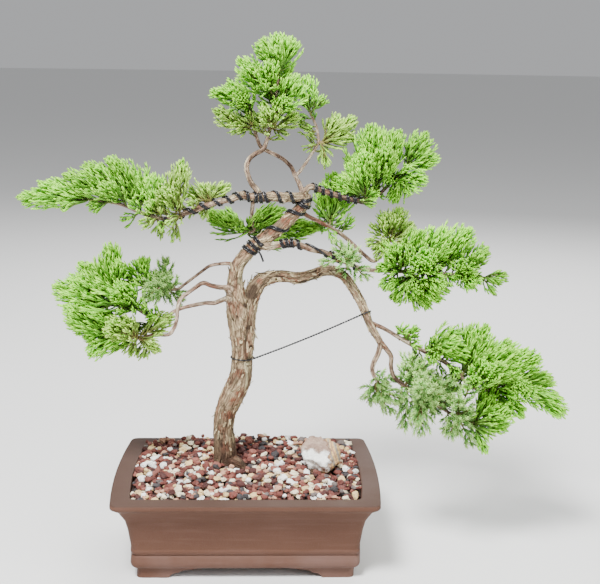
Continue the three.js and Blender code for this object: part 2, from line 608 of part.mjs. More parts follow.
// The frame and outer radius of a limb at a station, such as 2.5 for halfway from point 2 to point 3.
function limbAt(name, station) {
  const { route, sides, lobes = 0 } = LIMBS[name];
  const frames = routeFrames(route.map(pointOf));
  const low = Math.min(Math.floor(station), route.length - 2);
  const share = station - low;
  const mixed = (key) => frames[low][key].clone().lerp(frames[low + 1][key], share);
  const radius = THREE.MathUtils.lerp(route[low][3], route[low + 1][3], share);
  const along = mixed('along').normalize();
  const across = mixed('across').addScaledVector(along, -mixed('across').dot(along)).normalize();
  return {
    point: mixed('point'),
    along,
    across,
    beside: along.clone().cross(across),
    radius: radius * cornerShare(sides) * (1 + lobes),
  };
}

// Room: the thin pieces placed so far, as round-ended rods, so that later ones keep clear

const rods = [];

function addRods(owner, points, radii) {
  for (let place = 0; place < points.length - 1; place += 1) {
    const radius = Math.max(radii[place], radii[place + 1]);
    rods.push({ owner, place, start: points[place], end: points[place + 1], radius });
  }
}

// The least distance between two straight pieces.
function rodDistance(a, b) {
  const u = a.end.clone().sub(a.start);
  const v = b.end.clone().sub(b.start);
  const w = a.start.clone().sub(b.start);
  const uu = u.dot(u);
  const uv = u.dot(v);
  const vv = v.dot(v);
  const uw = u.dot(w);
  const vw = v.dot(w);
  const spread = uu * vv - uv * uv;
  let s = spread > 1e-9 ? THREE.MathUtils.clamp((uv * vw - vv * uw) / spread, 0, 1) : 0;
  const t = THREE.MathUtils.clamp((uv * s + vw) / vv, 0, 1);
  s = THREE.MathUtils.clamp((uv * t - uw) / uu, 0, 1);
  return w.addScaledVector(u, s).addScaledVector(v, -t).length();
}

function isClear(rod, ignored) {
  return rods.every((other) => {
    if (ignored(other)) return true;
    return rodDistance(rod, other) > rod.radius + other.radius + GAP;
  });
}

function takeWoodRoom() {
  for (const [name, { route, sides, lobes = 0 }] of Object.entries(LIMBS)) {
    const share = cornerShare(sides) * (1 + lobes);
    addRods(name, route.map(pointOf), route.map((row) => row[3] * share));
  }
}

// Wires

function addWire(name, points, radius) {
  const rings = routeFrames(points).map((frame) => ringAt(frame, () => radius, 3));
  addPiece(name, solidFrom(loft(rings)), 'wire');
  addRods(name, points, points.map(() => radius));
}

// The distance of a wire's middle from a limb's, so that the wire's straight steps clear the limb.
function woundRadius(limbRadius, wireRadius, stepsATurn) {
  return (limbRadius + GAP + wireRadius) / Math.cos(Math.PI / stepsATurn);
}

function makeTrainingWire({ name, limb, radius, winding }) {
  const points = [];
  for (let leg = 0; leg < winding.length - 1; leg += 1) {
    const [fromStation, fromTurns] = winding[leg];
    const [toStation, toTurns] = winding[leg + 1];
    const steps = Math.max(Math.round((toTurns - fromTurns) * WIRE_STEPS_A_TURN), 2);
    for (let step = leg ? 1 : 0; step <= steps; step += 1) {
      const frame = limbAt(limb, THREE.MathUtils.lerp(fromStation, toStation, step / steps));
      const angle = THREE.MathUtils.lerp(fromTurns, toTurns, step / steps) * 2 * Math.PI;
      const wound = woundRadius(frame.radius, radius, WIRE_STEPS_A_TURN);
      points.push(frame.point.clone()
        .addScaledVector(frame.across, wound * Math.cos(angle))
        .addScaledVector(frame.beside, wound * Math.sin(angle)));
    }
  }
  addWire(name, points, radius);
}

// A nearly closed loop round a limb, which starts and ends on the side that faces a far point.
function tieLoop(limb, station, towards, steps) {
  const frame = limbAt(limb, station);
  const facing = towards.clone().sub(frame.point);
  facing.addScaledVector(frame.along, -facing.dot(frame.along)).normalize();
  const beside = frame.along.clone().cross(facing);
  const wound = woundRadius(frame.radius, GUY_WIRE_RADIUS, steps);
  return Array.from({ length: steps }, (_, step) => {
    const angle = (step + 0.5) / steps * 2 * Math.PI;
    return frame.point.clone()
      .addScaledVector(facing, wound * Math.cos(angle))
      .addScaledVector(beside, wound * Math.sin(angle));
  });
}

function makeGuyWire() {
  const trunkPoint = limbAt('trunk', GUY_TRUNK_STATION).point;
  const limbPoint = limbAt('right_arm', GUY_LIMB_STATION).point;
  const trunkLoop = tieLoop('trunk', GUY_TRUNK_STATION, limbPoint, 14);
  const limbLoop = tieLoop('right_arm', GUY_LIMB_STATION, trunkPoint, 10);
  const middle = trunkLoop.at(-1).clone().lerp(limbLoop[0], 0.5);
  addWire('guy_wire', [...trunkLoop, middle, ...limbLoop], GUY_WIRE_RADIUS);
}

// Foliage

// A leader's curve: it leaves its seat square to the limb and bends to the plume's tip. The bend
// moves it aside, to pass what stands in the way.
function leaderCurve(seat, outward, tip, bend) {
  const length = tip.distanceTo(seat);
  const ahead = tip.clone().sub(seat).normalize();
  return new THREE.CubicBezierCurve3(
    seat,
    seat.clone().addScaledVector(outward, 0.3 * length),
    tip.clone().addScaledVector(ahead, -0.35 * length).add(bend),
    tip,
  );
}

// Two directions square to a third and to each other.
function squareTo(along) {
  const side = Math.abs(along.y) > 0.9 ? new THREE.Vector3(1, 0, 0) : new THREE.Vector3(0, 1, 0);
  const across = side.addScaledVector(along, -side.dot(along)).normalize();
  return { across, beside: along.clone().cross(across) };
}

// The rings of a leader, each turned on from the one before so that the skin between two rings is
// made of triangles that face six ways. Cords grow from three of them.
function leaderFrames(curve, outward) {
  const length = curve.getLength();
  const whorls = Math.max(Math.round((LAST_WHORL - FIRST_WHORL) * length / WHORL_SPACING), 3);
  const places = [0];
  for (let ring = 0; ring <= whorls; ring += 1) {
    places.push(THREE.MathUtils.lerp(FIRST_WHORL, LAST_WHORL, ring / whorls));
  }
  const points = places.map((place) => curve.getPointAt(place));
  const seatFrame = { point: points[0], along: outward, ...squareTo(outward) };
  return routeFrames(points, seatFrame).map((frame, ring) => {
    const radius = LEADER_RADIUS * (1 - LEADER_TAPER * places[ring]);
    const turn = ring * (Math.PI / 3 + WHORL_TWIST);
    const across = frame.across.clone().multiplyScalar(Math.cos(turn))
      .addScaledVector(frame.beside, Math.sin(turn));
    return { ...frame, across, beside: frame.along.clone().cross(across), radius, place: places[ring] };
  });
}

// A plume's cords end on an egg-shaped outline round its leader. This is the length of a cord that
// starts at a distance along the leader and leans out from it by an angle.
function cordLength(distance, angle, length, halfWidth) {
  const halfLength = PLUME_ROUND * length;
  const place = (distance - (length - halfLength)) / halfLength;
  const ahead = Math.cos(angle) / halfLength;
  const aside = Math.sin(angle) / halfWidth;
  const square = ahead ** 2 + aside ** 2;
  return (Math.sqrt((place * ahead) ** 2 - square * (place ** 2 - 1)) - place * ahead) / square;
}

// The tip of a cord that grows from a triangle of the leader's skin, or null where it has no room.
function cordTip(name, corners, frame, length, halfWidth, cords) {
  const root = corners.reduce((sum, corner) => sum.add(corner), new THREE.Vector3()).divideScalar(3);
  const facing = new THREE.Triangle(...corners).getNormal(new THREE.Vector3());
  const share = THREE.MathUtils.inverseLerp(FIRST_WHORL, LAST_WHORL, frame.place);
  const angle = THREE.MathUtils.degToRad(THREE.MathUtils.lerp(FIRST_CORD_ANGLE, LAST_CORD_ANGLE, share));
  const outward = facing.clone().addScaledVector(frame.along, -facing.dot(frame.along)).normalize();
  outward.z += CORD_LIFT;
  outward.addScaledVector(frame.along, -outward.dot(frame.along)).normalize();
  const way = frame.along.clone().multiplyScalar(Math.cos(angle)).addScaledVector(outward, Math.sin(angle));
  const full = cordLength(frame.place * length, angle, length, halfWidth);
  const ragged = THREE.MathUtils.lerp(RAGGED_FROM, RAGGED_TO, THREE.MathUtils.seededRandom());
  if (way.dot(facing) < 0.3 || !(full > SHORTEST_CORD)) return null;
  for (const shorter of [1, 0.8, 0.6]) {
    const tip = root.clone().addScaledVector(way, full * ragged * shorter);
    const middle = root.clone().lerp(tip, 0.5);
    const inner = { start: root, end: middle, radius: CORD_ROOM };
    const outer = { start: middle, end: tip, radius: 0.6 * CORD_ROOM };
    const own = (other) => other.owner === name;
    const apart = cords.every((cord) => rodDistance(outer, cord) > 2 * outer.radius);
    if (apart && isClear(inner, own) && isClear(outer, own)) {
      cords.push({ start: root.clone().lerp(tip, 0.2), end: tip, radius: CORD_ROOM });
      return tip;
    }
  }
  return null;
}

// A leader with its cords as one closed skin. Each cord is a spike on a triangle of the skin.
function plumeSolid(name, frames, tip, halfWidth, cords) {
  const spine = [...frames.map((frame) => frame.point), tip];
  const length = spine.slice(1).reduce((sum, point, step) => sum + point.distanceTo(spine[step]), 0);
  const rings = frames.map((frame) => ringAt(frame, () => frame.radius, 3));
  const points = rings.flat();
  const index = [0, 2, 1];
  for (let ring = 0; ring < rings.length - 1; ring += 1) {
    for (let side = 0; side < 3; side += 1) {
      const here = 3 * ring + side;
      const next = 3 * ring + (side + 1) % 3;
      const above = here + 3;
      const corners = [points[here], points[next], points[above]];
      const spike = ring ? cordTip(name, corners, frames[ring], length, halfWidth, cords) : null;
      if (spike) {
        const peak = points.push(spike) - 1;
        index.push(here, next, peak, next, above, peak, above, here, peak);
      } else {
        index.push(here, next, above);
      }
      index.push(next, next + 3, above);
    }
  }
  const last = 3 * (rings.length - 1);
  const peak = points.push(tip) - 1;
  index.push(last, last + 1, peak, last + 1, last + 2, peak, last + 2, last, peak);
  const geometry = new THREE.BufferGeometry().setFromPoints(points);
  geometry.setIndex(index);
  return solidFrom(geometry);
}

// Where a spray's foot stands: just clear of the limb's skin, looking square away from it towards
// the spray's tips, or straight on at the limb's end.
function seatAt(limb, station, tips) {
  const frame = limbAt(limb, station);
  const atEnd = station === LIMBS[limb].route.length - 1;
  const middle = tips.reduce((sum, tip) => sum.add(tip), new THREE.Vector3()).divideScalar(tips.length);
  const outward = atEnd ? frame.along.clone() : middle.sub(frame.point);
  if (!atEnd) outward.addScaledVector(frame.along, -outward.dot(frame.along)).normalize();
  const far = frame.radius + 6;
  const foot = { point: frame.point, ...squareTo(outward) };
  const heights = [frame.point, ...ringAt(foot, () => LEADER_RADIUS, 24)].map((point) => {
    const from = point.clone().addScaledVector(outward, far);
    const hits = new THREE.Raycaster(from, outward.clone().negate(), 0, far).intersectObject(trunk);
    return hits.length ? far - hits[0].distance : 0;
  });
  return { seat: frame.point.addScaledVector(outward, Math.max(...heights) + GAP), outward };
}

// A leader's frames with the smallest bend that keeps it clear of everything placed before.
function clearLeader(name, limb, seat, outward, tip) {
  const length = tip.distanceTo(seat);
  const { across, beside } = squareTo(tip.clone().sub(seat).normalize());
  for (let attempt = 0; attempt <= BEND_RINGS * BENDS_A_RING; attempt += 1) {
    const reach = Math.ceil(attempt / BENDS_A_RING) * BEND_STEP * length;
    const turn = attempt / BENDS_A_RING * 2 * Math.PI;
    const bend = across.clone().multiplyScalar(reach * Math.cos(turn))
      .addScaledVector(beside, reach * Math.sin(turn));
    const frames = leaderFrames(leaderCurve(seat, outward, tip, bend), outward);
    const clear = frames.every(({ point, radius }, place) => {
      const end = place + 1 < frames.length ? frames[place + 1].point : tip;
      const rod = { start: point, end, radius };
      if (place) return isClear(rod, (other) => other.owner === name);
      const outer = Math.min(SEAT_REACH / point.distanceTo(end), 0.95);
      const outerRod = { start: point.clone().lerp(end, outer), end, radius };
      return isClear(rod, (other) => other.owner === limb) && isClear(outerRod, () => false);
    });
    if (clear) return frames;
  }
  return null;
}

// The leaders of a spray, at its own station or the nearest one with room for them all.
function placeLeaders({ name, limb, station, plumes }) {
  const tips = plumes.map(pointOf);
  const atEnd = station === LIMBS[limb].route.length - 1;
  for (const shift of atEnd ? [0] : [0, 0.2, -0.2, 0.4, -0.4, 0.6, -0.6]) {
    const { seat, outward } = seatAt(limb, station + shift, tips);
    const leaders = tips.map((tip) => clearLeader(name, limb, seat, outward, tip));
    if (leaders.every((frames) => frames !== null)) {
      leaders.forEach((frames, place) => {
        const spine = [...frames.map((frame) => frame.point), tips[place]];
        addRods(name, spine, [...frames.map((frame) => frame.radius), 0.5]);
      });
      return leaders;
    }
  }
  throw new Error(`${name} finds no clear place on its limb`);
}

function makeSpray({ name, plumes }, leaders, number) {
  THREE.MathUtils.seededRandom(SEED + 2 + number);
  const cords = [];
  const solids = leaders.map((frames, place) => {
    const [, , , halfWidth] = plumes[place];
    return plumeSolid(name, frames, pointOf(plumes[place]), halfWidth, cords);
  });
  rods.push(...cords.map((cord) => ({ ...cord, owner: name })));
  addPiece(name, largestBody(joined(solids)), 'foliage');
}

// The outer skin of the biggest body, without hollows that the joining has sealed in.
function largestBody(solid) {
  return solid.decompose().reduce((biggest, body) => (body.volume() > biggest.volume() ? body : biggest));
}

function makeFoliage() {
  const leaders = SPRAYS.map(placeLeaders);
  SPRAYS.forEach((spray, number) => makeSpray(spray, leaders[number], number));
}

makePot();
makeFilling();
const trunk = makeTrunk();
takeWoodRoom();
WIRES.forEach(makeTrainingWire);
makeGuyWire();
makeFoliage();
tree.position.x = -TREE_MIDDLE;

const whole = new THREE.Group();
whole.add(tree);
export default whole;
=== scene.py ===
"""A Japanese garden juniper bonsai in a rectangular stoneware pot.

The file is laid out as a Blender add-on and is run as a script. Sizes in the tables are in
millimetres, measured from the middle of the pot's base: X to the right, Y to the back, Z up.
"""

import math
from contextlib import contextmanager

import bpy
import numpy as np
from bpy.props import FloatProperty, FloatVectorProperty, IntProperty, PointerProperty
from mathutils import Matrix, Vector, kdtree, noise


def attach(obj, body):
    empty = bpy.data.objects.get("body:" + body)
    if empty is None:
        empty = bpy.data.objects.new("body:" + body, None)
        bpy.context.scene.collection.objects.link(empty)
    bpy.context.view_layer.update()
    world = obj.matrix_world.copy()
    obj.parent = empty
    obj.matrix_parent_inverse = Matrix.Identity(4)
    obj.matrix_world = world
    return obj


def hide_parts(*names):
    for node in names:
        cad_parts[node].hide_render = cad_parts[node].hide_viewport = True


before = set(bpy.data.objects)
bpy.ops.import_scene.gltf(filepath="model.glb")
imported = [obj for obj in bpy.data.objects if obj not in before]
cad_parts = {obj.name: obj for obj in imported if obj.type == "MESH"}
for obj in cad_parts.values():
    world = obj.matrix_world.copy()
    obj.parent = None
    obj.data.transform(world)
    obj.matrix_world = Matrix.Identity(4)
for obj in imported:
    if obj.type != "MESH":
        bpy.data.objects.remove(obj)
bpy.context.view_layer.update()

bl_info = {
    "name": "Juniper Bonsai",
    "version": (1, 0, 0),
    "blender": (4, 5, 0),
    "location": "View3D > Sidebar > Bonsai",
    "description": "Builds a Japanese garden juniper bonsai in a stoneware pot, piece by piece",
    "category": "Add Mesh",
}

MM = 0.001
TREE_MIDDLE = 56.5  # the middle of the tree's spread, measured from the pot's centre

# The pot

POT_LENGTH = 317
POT_DEPTH = 225
POT_BOW = 4.5
CORNER_RADIUS = 7
FOOT_HEIGHT = 12
FOOT_THICKNESS = 14
FRONT_ARCH = 89  # half the width of the openings between the feet
SIDE_ARCH = 54
DRAIN_SPACING = 130
DRAIN_DIAMETER = 22
SMOOTH_UNDER = math.radians(32)  # edges of the pot that turn by less are shaded smooth

# The pot's skin from the foot up the outside, over the rim and down the inside:
# height, and how far the outline is drawn in from the rim's edge.
POT_PROFILE = [
    (0, 27.5), (FOOT_HEIGHT, 28), (14, 23.5), (17, 21.4), (21, 20.8), (28.5, 22.2), (29.8, 23.8),
    (31.5, 22), (35.5, 21), (37.5, 22), (49, 20.4), (62, 18.5), (74, 15.7), (80, 12.4), (88, 8), (93, 1.6),
    (94.5, 0), (99.2, 0), (100, 0.8), (100, 20.7), (99, 21.5), (90, 22.3), (74, 24.5), (38, 30.5), (20, 31.5),
]

# The gravel: half the length and depth of the room in the pot, of the part that pebbles keep to, of
# the bed under them and of the grid of pebbles, how deep the grid's rows reach, the height of the bed
# in front, its rise to the back and its heap behind, and how deep, thick and rough it is made.
ROOM = (132, 92)
PEBBLE_ROOM = (132.8, 91.2)
BED = (134, 90)
GRID = (136, 93)
GRID_DEPTH = 188
BED_FRONT, BED_RISE, BED_HEAP = 95, 5, 8
BED_DROP, BED_THICKNESS, BED_ROUGHNESS = 1.2, 9, 1.6
ROW_SHARE = 0.87  # the distance between rows, as a share of the pitch
GRID_STRAY = 1.6  # how far a pebble may lie from its place in the grid
LAYERS = ((0.88, 1.2), (0.42, 5.0))  # the share of places with a pebble, and the layer's lift
TRUNK_FOOT = (-27, 14, 12.5)  # x, y and the radius that pebbles keep clear of
# Ovals of x, y and two half widths: where the root and the rock lie, and behind the trunk, where more
# red and black stones are laid as painted shade.
ROOT_OVAL = (-10, 6, 12, 8)
ROCK_OVAL = (89.5, 5, 22, 23)
PAINTED_SHADE_OVAL = (10, 34, 36, 26)

ROCK_SIZE = (49, 52, 46)
ROCK_CENTRE = (89.5, 5, 113)
ROCK_FACETS = 16
ROCK_WEAR = ((0.5, 0.16, "CLOUDS"), (0.28, 0.1, "VORONOI"), (0.1, 0.05, "CLOUDS"))

# Wood: each limb's route in points of x, y, z and radius.
LIMBS = {
    "trunk": [
        (-27, 14, 62, 13), (-27, 14, 90, 14), (-27, 14, 102, 13.6), (-27, 14, 116, 13.2),
        (-28, 14, 133, 12.8), (-29, 14, 152, 12), (-26, 14, 171, 12.4), (-18, 13, 191, 13.8),
        (-10, 12, 210, 13.2), (-7, 12, 229, 12.1), (-6, 12, 248, 12.4), (-7, 11, 267, 13.5),
        (-9, 10, 285, 14.5), (-12, 9, 304, 13.7), (-15, 8, 322, 10.7), (-15, 7, 337, 8.5),
        (-12, 6, 352, 7.8), (-3, 5, 365, 7.4), (7, 5, 376, 7.3), (19, 6, 384, 7.3), (33, 8, 394, 7.2),
        (47, 10, 407, 6.8), (58, 11, 417, 6.3), (66, 11, 426, 6.1), (67, 10, 436, 5.6)],
    "crown": [
        (67, 10, 434, 5.4), (57, 9, 433, 5.4), (44, 8, 433, 5.4), (28, 5, 434, 5.2), (14, 3, 433, 4.8),
        (2, 1, 434, 4.3), (-8, -1, 436, 4.1), (-19, -3, 432, 3.6), (-32, -5, 429, 3.2), (-47, -8, 425, 3.1),
        (-61, -10, 420, 3.1), (-77, -12, 414, 2.7), (-91, -14, 410, 2.5), (-107, -15, 412, 2.3),
        (-123, -15, 417, 2.1), (-139, -14, 424, 1.9), (-155, -13, 428, 1.8), (-171, -12, 430, 1.7)],
    "right_arm": [
        (-4, 9, 230, 5), (0, 6, 248, 6.5), (1, 5, 267, 7.2), (0, 8, 284, 9), (1, 12, 303, 10.1),
        (6, 15, 318, 9.5), (14, 18, 330, 8.6), (26, 21, 335, 7.5), (43, 24, 336, 6.8), (60, 24, 334, 6.8),
        (75, 22, 338, 6.2), (89, 18, 344, 6.2), (102, 14, 345, 5.9), (113, 10, 340, 5.5),
        (121, 6, 331, 5.3), (129, 1, 319, 5.2), (135, -3, 308, 5), (140, -7, 296, 4.7),
        (145, -11, 284, 4.4), (153, -14, 271, 4), (157, -16, 264, 3.5)],
    "root": [
        (-27, 13, 103, 9), (-18, 9, 106, 8.5), (-9, 6, 104, 6.5), (-3, 4, 99, 4)],
    "fork_left": [
        (157, -16, 266, 3.2), (154, -19, 253, 3.1), (149, -22, 243, 2.9), (147, -24, 234, 2.6),
        (152, -26, 222, 2.2), (161, -28, 212, 1.9)],
    "fork_middle": [
        (157, -16, 266, 3.2), (165, -16, 256, 3), (170, -16, 248, 2.8), (170, -17, 236, 2.6),
        (174, -19, 224, 2.5), (186, -22, 214, 2.4), (204, -26, 203, 2.3), (226, -30, 192, 2.1),
        (246, -32, 180, 1.9), (262, -34, 173, 1.7)],
    "fork_top": [
        (144, -10, 288, 2.8), (156, -8, 283, 2.5), (167, -7, 277, 2.4), (177, -8, 271, 2.4),
        (192, -12, 263, 2.4), (213, -18, 253, 2.4), (234, -24, 243, 2.4), (251, -28, 228, 2.4),
        (266, -30, 215, 2.3), (287, -30, 212, 2.1), (308, -30, 214, 1.8)],
    "low_left_a": [
        (-13, 6, 352, 2.6), (-22, 8, 354, 2.4), (-33, 11, 353, 2.1), (-45, 14, 350, 2), (-53, 17, 344, 1.9),
        (-64, 20, 335, 1.8), (-75, 23, 326, 1.8), (-85, 25, 319, 1.8), (-101, 26, 319, 1.7),
        (-117, 26, 320, 1.6)],
    "low_left_b": [
        (-16, 7, 326, 3.3), (-30, 0, 327, 2.9), (-42, -5, 330, 2.7), (-52, -9, 334, 2.7),
        (-61, -13, 329, 2.4), (-71, -16, 322, 2.3), (-78, -18, 316, 2.3), (-81, -19, 305, 2.2),
        (-82, -20, 293, 2.2), (-85, -21, 283, 2.2), (-92, -22, 275, 2.1), (-108, -23, 275, 1.9),
        (-127, -24, 271, 1.8), (-145, -25, 274, 1.6)],
    "low_left_c": [
        (-15, 8, 315, 3.6), (-28, 7, 311, 3), (-39, 6, 307, 2.7), (-50, 4, 307, 2.4), (-63, 2, 305, 2.4),
        (-76, 0, 302, 2.2), (-88, -1, 297, 2.2), (-98, -2, 289, 2.2), (-112, -2, 290, 2),
        (-129, -2, 300, 1.8), (-145, -2, 307, 1.6)],
    "loop_left": [
        (16, 4, 432, 3.5), (10, 3, 442, 3.4), (4, 2, 449, 3.1), (0, 2, 458, 2.9), (-2, 3, 468, 2.9),
        (1, 5, 477, 2.9), (8, 8, 483, 2.8), (17, 11, 488, 2.7), (21, 12, 498, 2.3), (25, 10, 513, 2.1),
        (28, 8, 531, 1.9), (31, 7, 551, 1.8), (34, 6, 569, 1.6)],
    "loop_right": [
        (64, 11, 436, 3), (59, 13, 449, 2.7), (54, 15, 458, 2.4), (50, 17, 467, 2.4), (42, 18, 475, 2.3),
        (32, 18, 481, 2.3), (21, 17, 486, 2.3), (14, 16, 491, 2.2), (10, 17, 500, 2), (6, 18, 514, 1.8),
        (4, 18, 528, 1.6)],
    "crown_twig": [
        (54, 15, 456, 2), (61, 17, 464, 1.9), (68, 19, 474, 1.8), (75, 21, 485, 1.7), (81, 22, 496, 1.7),
        (79, 22, 512, 1.6), (73, 21, 526, 1.5)],
    "high_branch": [
        (65, 11, 438, 3.5), (72, 12, 445, 3.4), (84, 15, 441, 3.2), (99, 18, 436, 3.1), (115, 20, 431, 2.8),
        (128, 22, 428, 2.6), (141, 24, 426, 2.4), (155, 26, 436, 2.2), (168, 28, 449, 2),
        (181, 30, 462, 1.8)],
    "back_twig": [
        (6, 2, 433, 2.3), (5, 10, 422, 2.3), (4, 18, 412, 2.2), (4, 25, 401, 2.1), (7, 31, 391, 1.9),
        (0, 36, 387, 1.6)],
    "thin_branch": [
        (61, 12, 417, 2.8), (70, 16, 410, 2.5), (82, 20, 404, 2.4), (96, 24, 396, 2.4), (112, 27, 386, 2.4),
        (126, 29, 374, 2.4), (139, 30, 362, 2.3), (151, 30, 354, 2.2), (161, 31, 363, 1.9),
        (168, 32, 376, 1.7)],
    "lower_branch": [
        (12, 5, 377, 4.9), (23, 0, 376, 4.2), (35, -4, 379, 3.8), (49, -7, 382, 3.7), (60, -9, 380, 3.5),
        (73, -10, 375, 3.2), (87, -10, 372, 3.1), (101, -8, 366, 2.9), (115, -5, 359, 2.8),
        (127, -1, 353, 2.7), (139, 3, 349, 2.5), (159, 7, 347, 2.4), (180, 9, 346, 2.3),
        (204, 10, 345, 2.1), (228, 10, 344, 1.9), (252, 10, 342, 1.8), (274, 10, 340, 1.6)],
}

# How the wood, its bark and its flakes are modelled.
LIMB_STEPS = 6  # points of a limb's smooth line for each of its stations
THICK = 5  # limbs that reach this radius are modelled with more sides
TRUNK_RADIUS = 13
SEAM_REACH = 3  # how near to both limbs the crease between them is looked for
SEAM_WIDTH = 2.3
OLD_RADIUS = 3.8  # wood thicker than this has flakes
FLAKE_LOW, FLAKE_HIGH = (4, 1.6, 3), (12, 3.6, 8)  # length, width and curl of the flakes
FLAKE_CURLS = (0.06, 0.14, 0.3)
FLAKE_GAP = 0.4  # between a flake's foot and the limb
OTHER_FLAKES = 3.6  # all limbs but the right arm carry flakes as if they had this radius

# Spots on the wood, each with x, y, z and radius: hollows, with their relief flattened and painted
# in shade, and red places that have lost their bark.
PAINTED_SHADE_HOLLOWS = [
    (-1, 0, 318, 7), (-2, -2, 306, 5), (2, -4, 261, 4), (-12, -6, 292, 3), (30, 10, 330, 3),
    (-4, 2, 108, 6), (-16, -4, 112, 4), (5, 5, 336, 4), (4, 5, 318, 10), (7, 7, 324, 8), (1, 0, 279, 5),
    (4, 0, 255, 4), (-17, -1, 288, 3),
]
WORN = [
    (-7, -1, 198, 10), (-9, 0, 222, 7), (10, 4, 338, 9), (113, 6, 341, 9), (-14, -3, 303, 10),
    (128, 0, 322, 5), (-10, -2, 262, 7), (-26, 2, 128, 8), (-20, 0, 108, 9), (44, 3, 406, 7),
    (-24, 2, 168, 9), (-30, 2, 152, 7), (-16, 0, 186, 8), (28, 2, 393, 6), (82, 13, 344, 6),
    (14, 9, 333, 5),
]

# Training wires: the limb that each is wound round, the wire's radius, and its winding in points
# of limb station and turns made so far.
WIRES = {
    "wire_left_branch": ("crown", 1.1, [
        (1.0, 0), (3.2, 2.1), (3.6, 2.5), (4.7, 5.1), (5.3, 5.5), (12.3, 12.6)]),
    "wire_trunk_top": ("trunk", 1.2, [(17.3, 0), (18.5, 2.5), (22.3, 4.8), (23.6, 6.8)]),
    "wire_high_branch": ("high_branch", 1.1, [(1.2, 0), (5.4, 6.5)]),
    "wire_lower_branch": ("lower_branch", 1.1, [
        (2.2, 0), (3.4, 3), (4.6, 4.2), (6.3, 4.6), (6.9, 5.6), (8, 6), (9.3, 7)]),
}
WIRE_END = [(12, -6, 372), (15, -9, 368), (17, -10, 363), (18, -10, 360)]
STRAND_SPREAD = 1.02  # each strand's distance from the pair's middle, in wire radii
WIRE_GAP = 0.25  # between a wound wire and its limb

# The tie wire: two twisted strands, from a station of the trunk to one of the right arm.
TIE_RADIUS = 0.62
TIE_TRUNK_STATION = 9.5
TIE_ARM_STATION = 16.8
TIE_GAP = 0.4
TIE_SAG = 1.5
TWIST_LENGTH = 7

# Foliage: the kind of growth, the limb and station that each spray springs from, and its plumes,
# each with the x, y and z of its tip and its half width. The kinds are fresh scale leaves,
# olive ones from the shaded inside, and blue-green needles.
FRESH, OLIVE, NEEDLE = 0, 1, 2
GOLDEN_TURN = 2.39996  # the angle between one cord and the next round a stem
LIFT = 0.28  # how much cords and side stems turn upwards
SHOOT_LIFT = 0.7  # how much the short stems that clothe a limb do
COMBED = (0.75, 0.75, 0.2)  # how much each kind's cords turn the way that the whole plume points
BEND_AHEAD = math.radians(24)  # how much wider a cord starts than it ends
LAST_JOINT = 0.6  # the pointed end of a stem, measured against the joints before it
JOINT_LENGTH = 5.5
SCALE_CORDS = ((10, 1), (19, 3), (30, 4), (43, 6))  # lengths of modelled cords and their side cords
NEEDLE_CORDS = ((8, 4), (15, 7))  # lengths of modelled stems and their whorls of needles
TWIG_LENGTH = (4, 11)
NEEDLE_LENGTH = (5.0, 7.6)
LONGEST_NEEDLE_CORD = 19
SHORTEST_CORD = 4
SHORTEST_BRANCHLET = 14
BRANCHLET_WIDTH = (7, 15)  # half the width of its outline
SHOOT_LENGTH = (16, 32)
LONG_STEM = 38  # stems longer than this carry denser cords
SPRAYS_IN_PAINTED_SHADE = ("spray_left_top_right", "spray_back_low", "spray_low_hollow")  # sprays coloured darker as painted shade
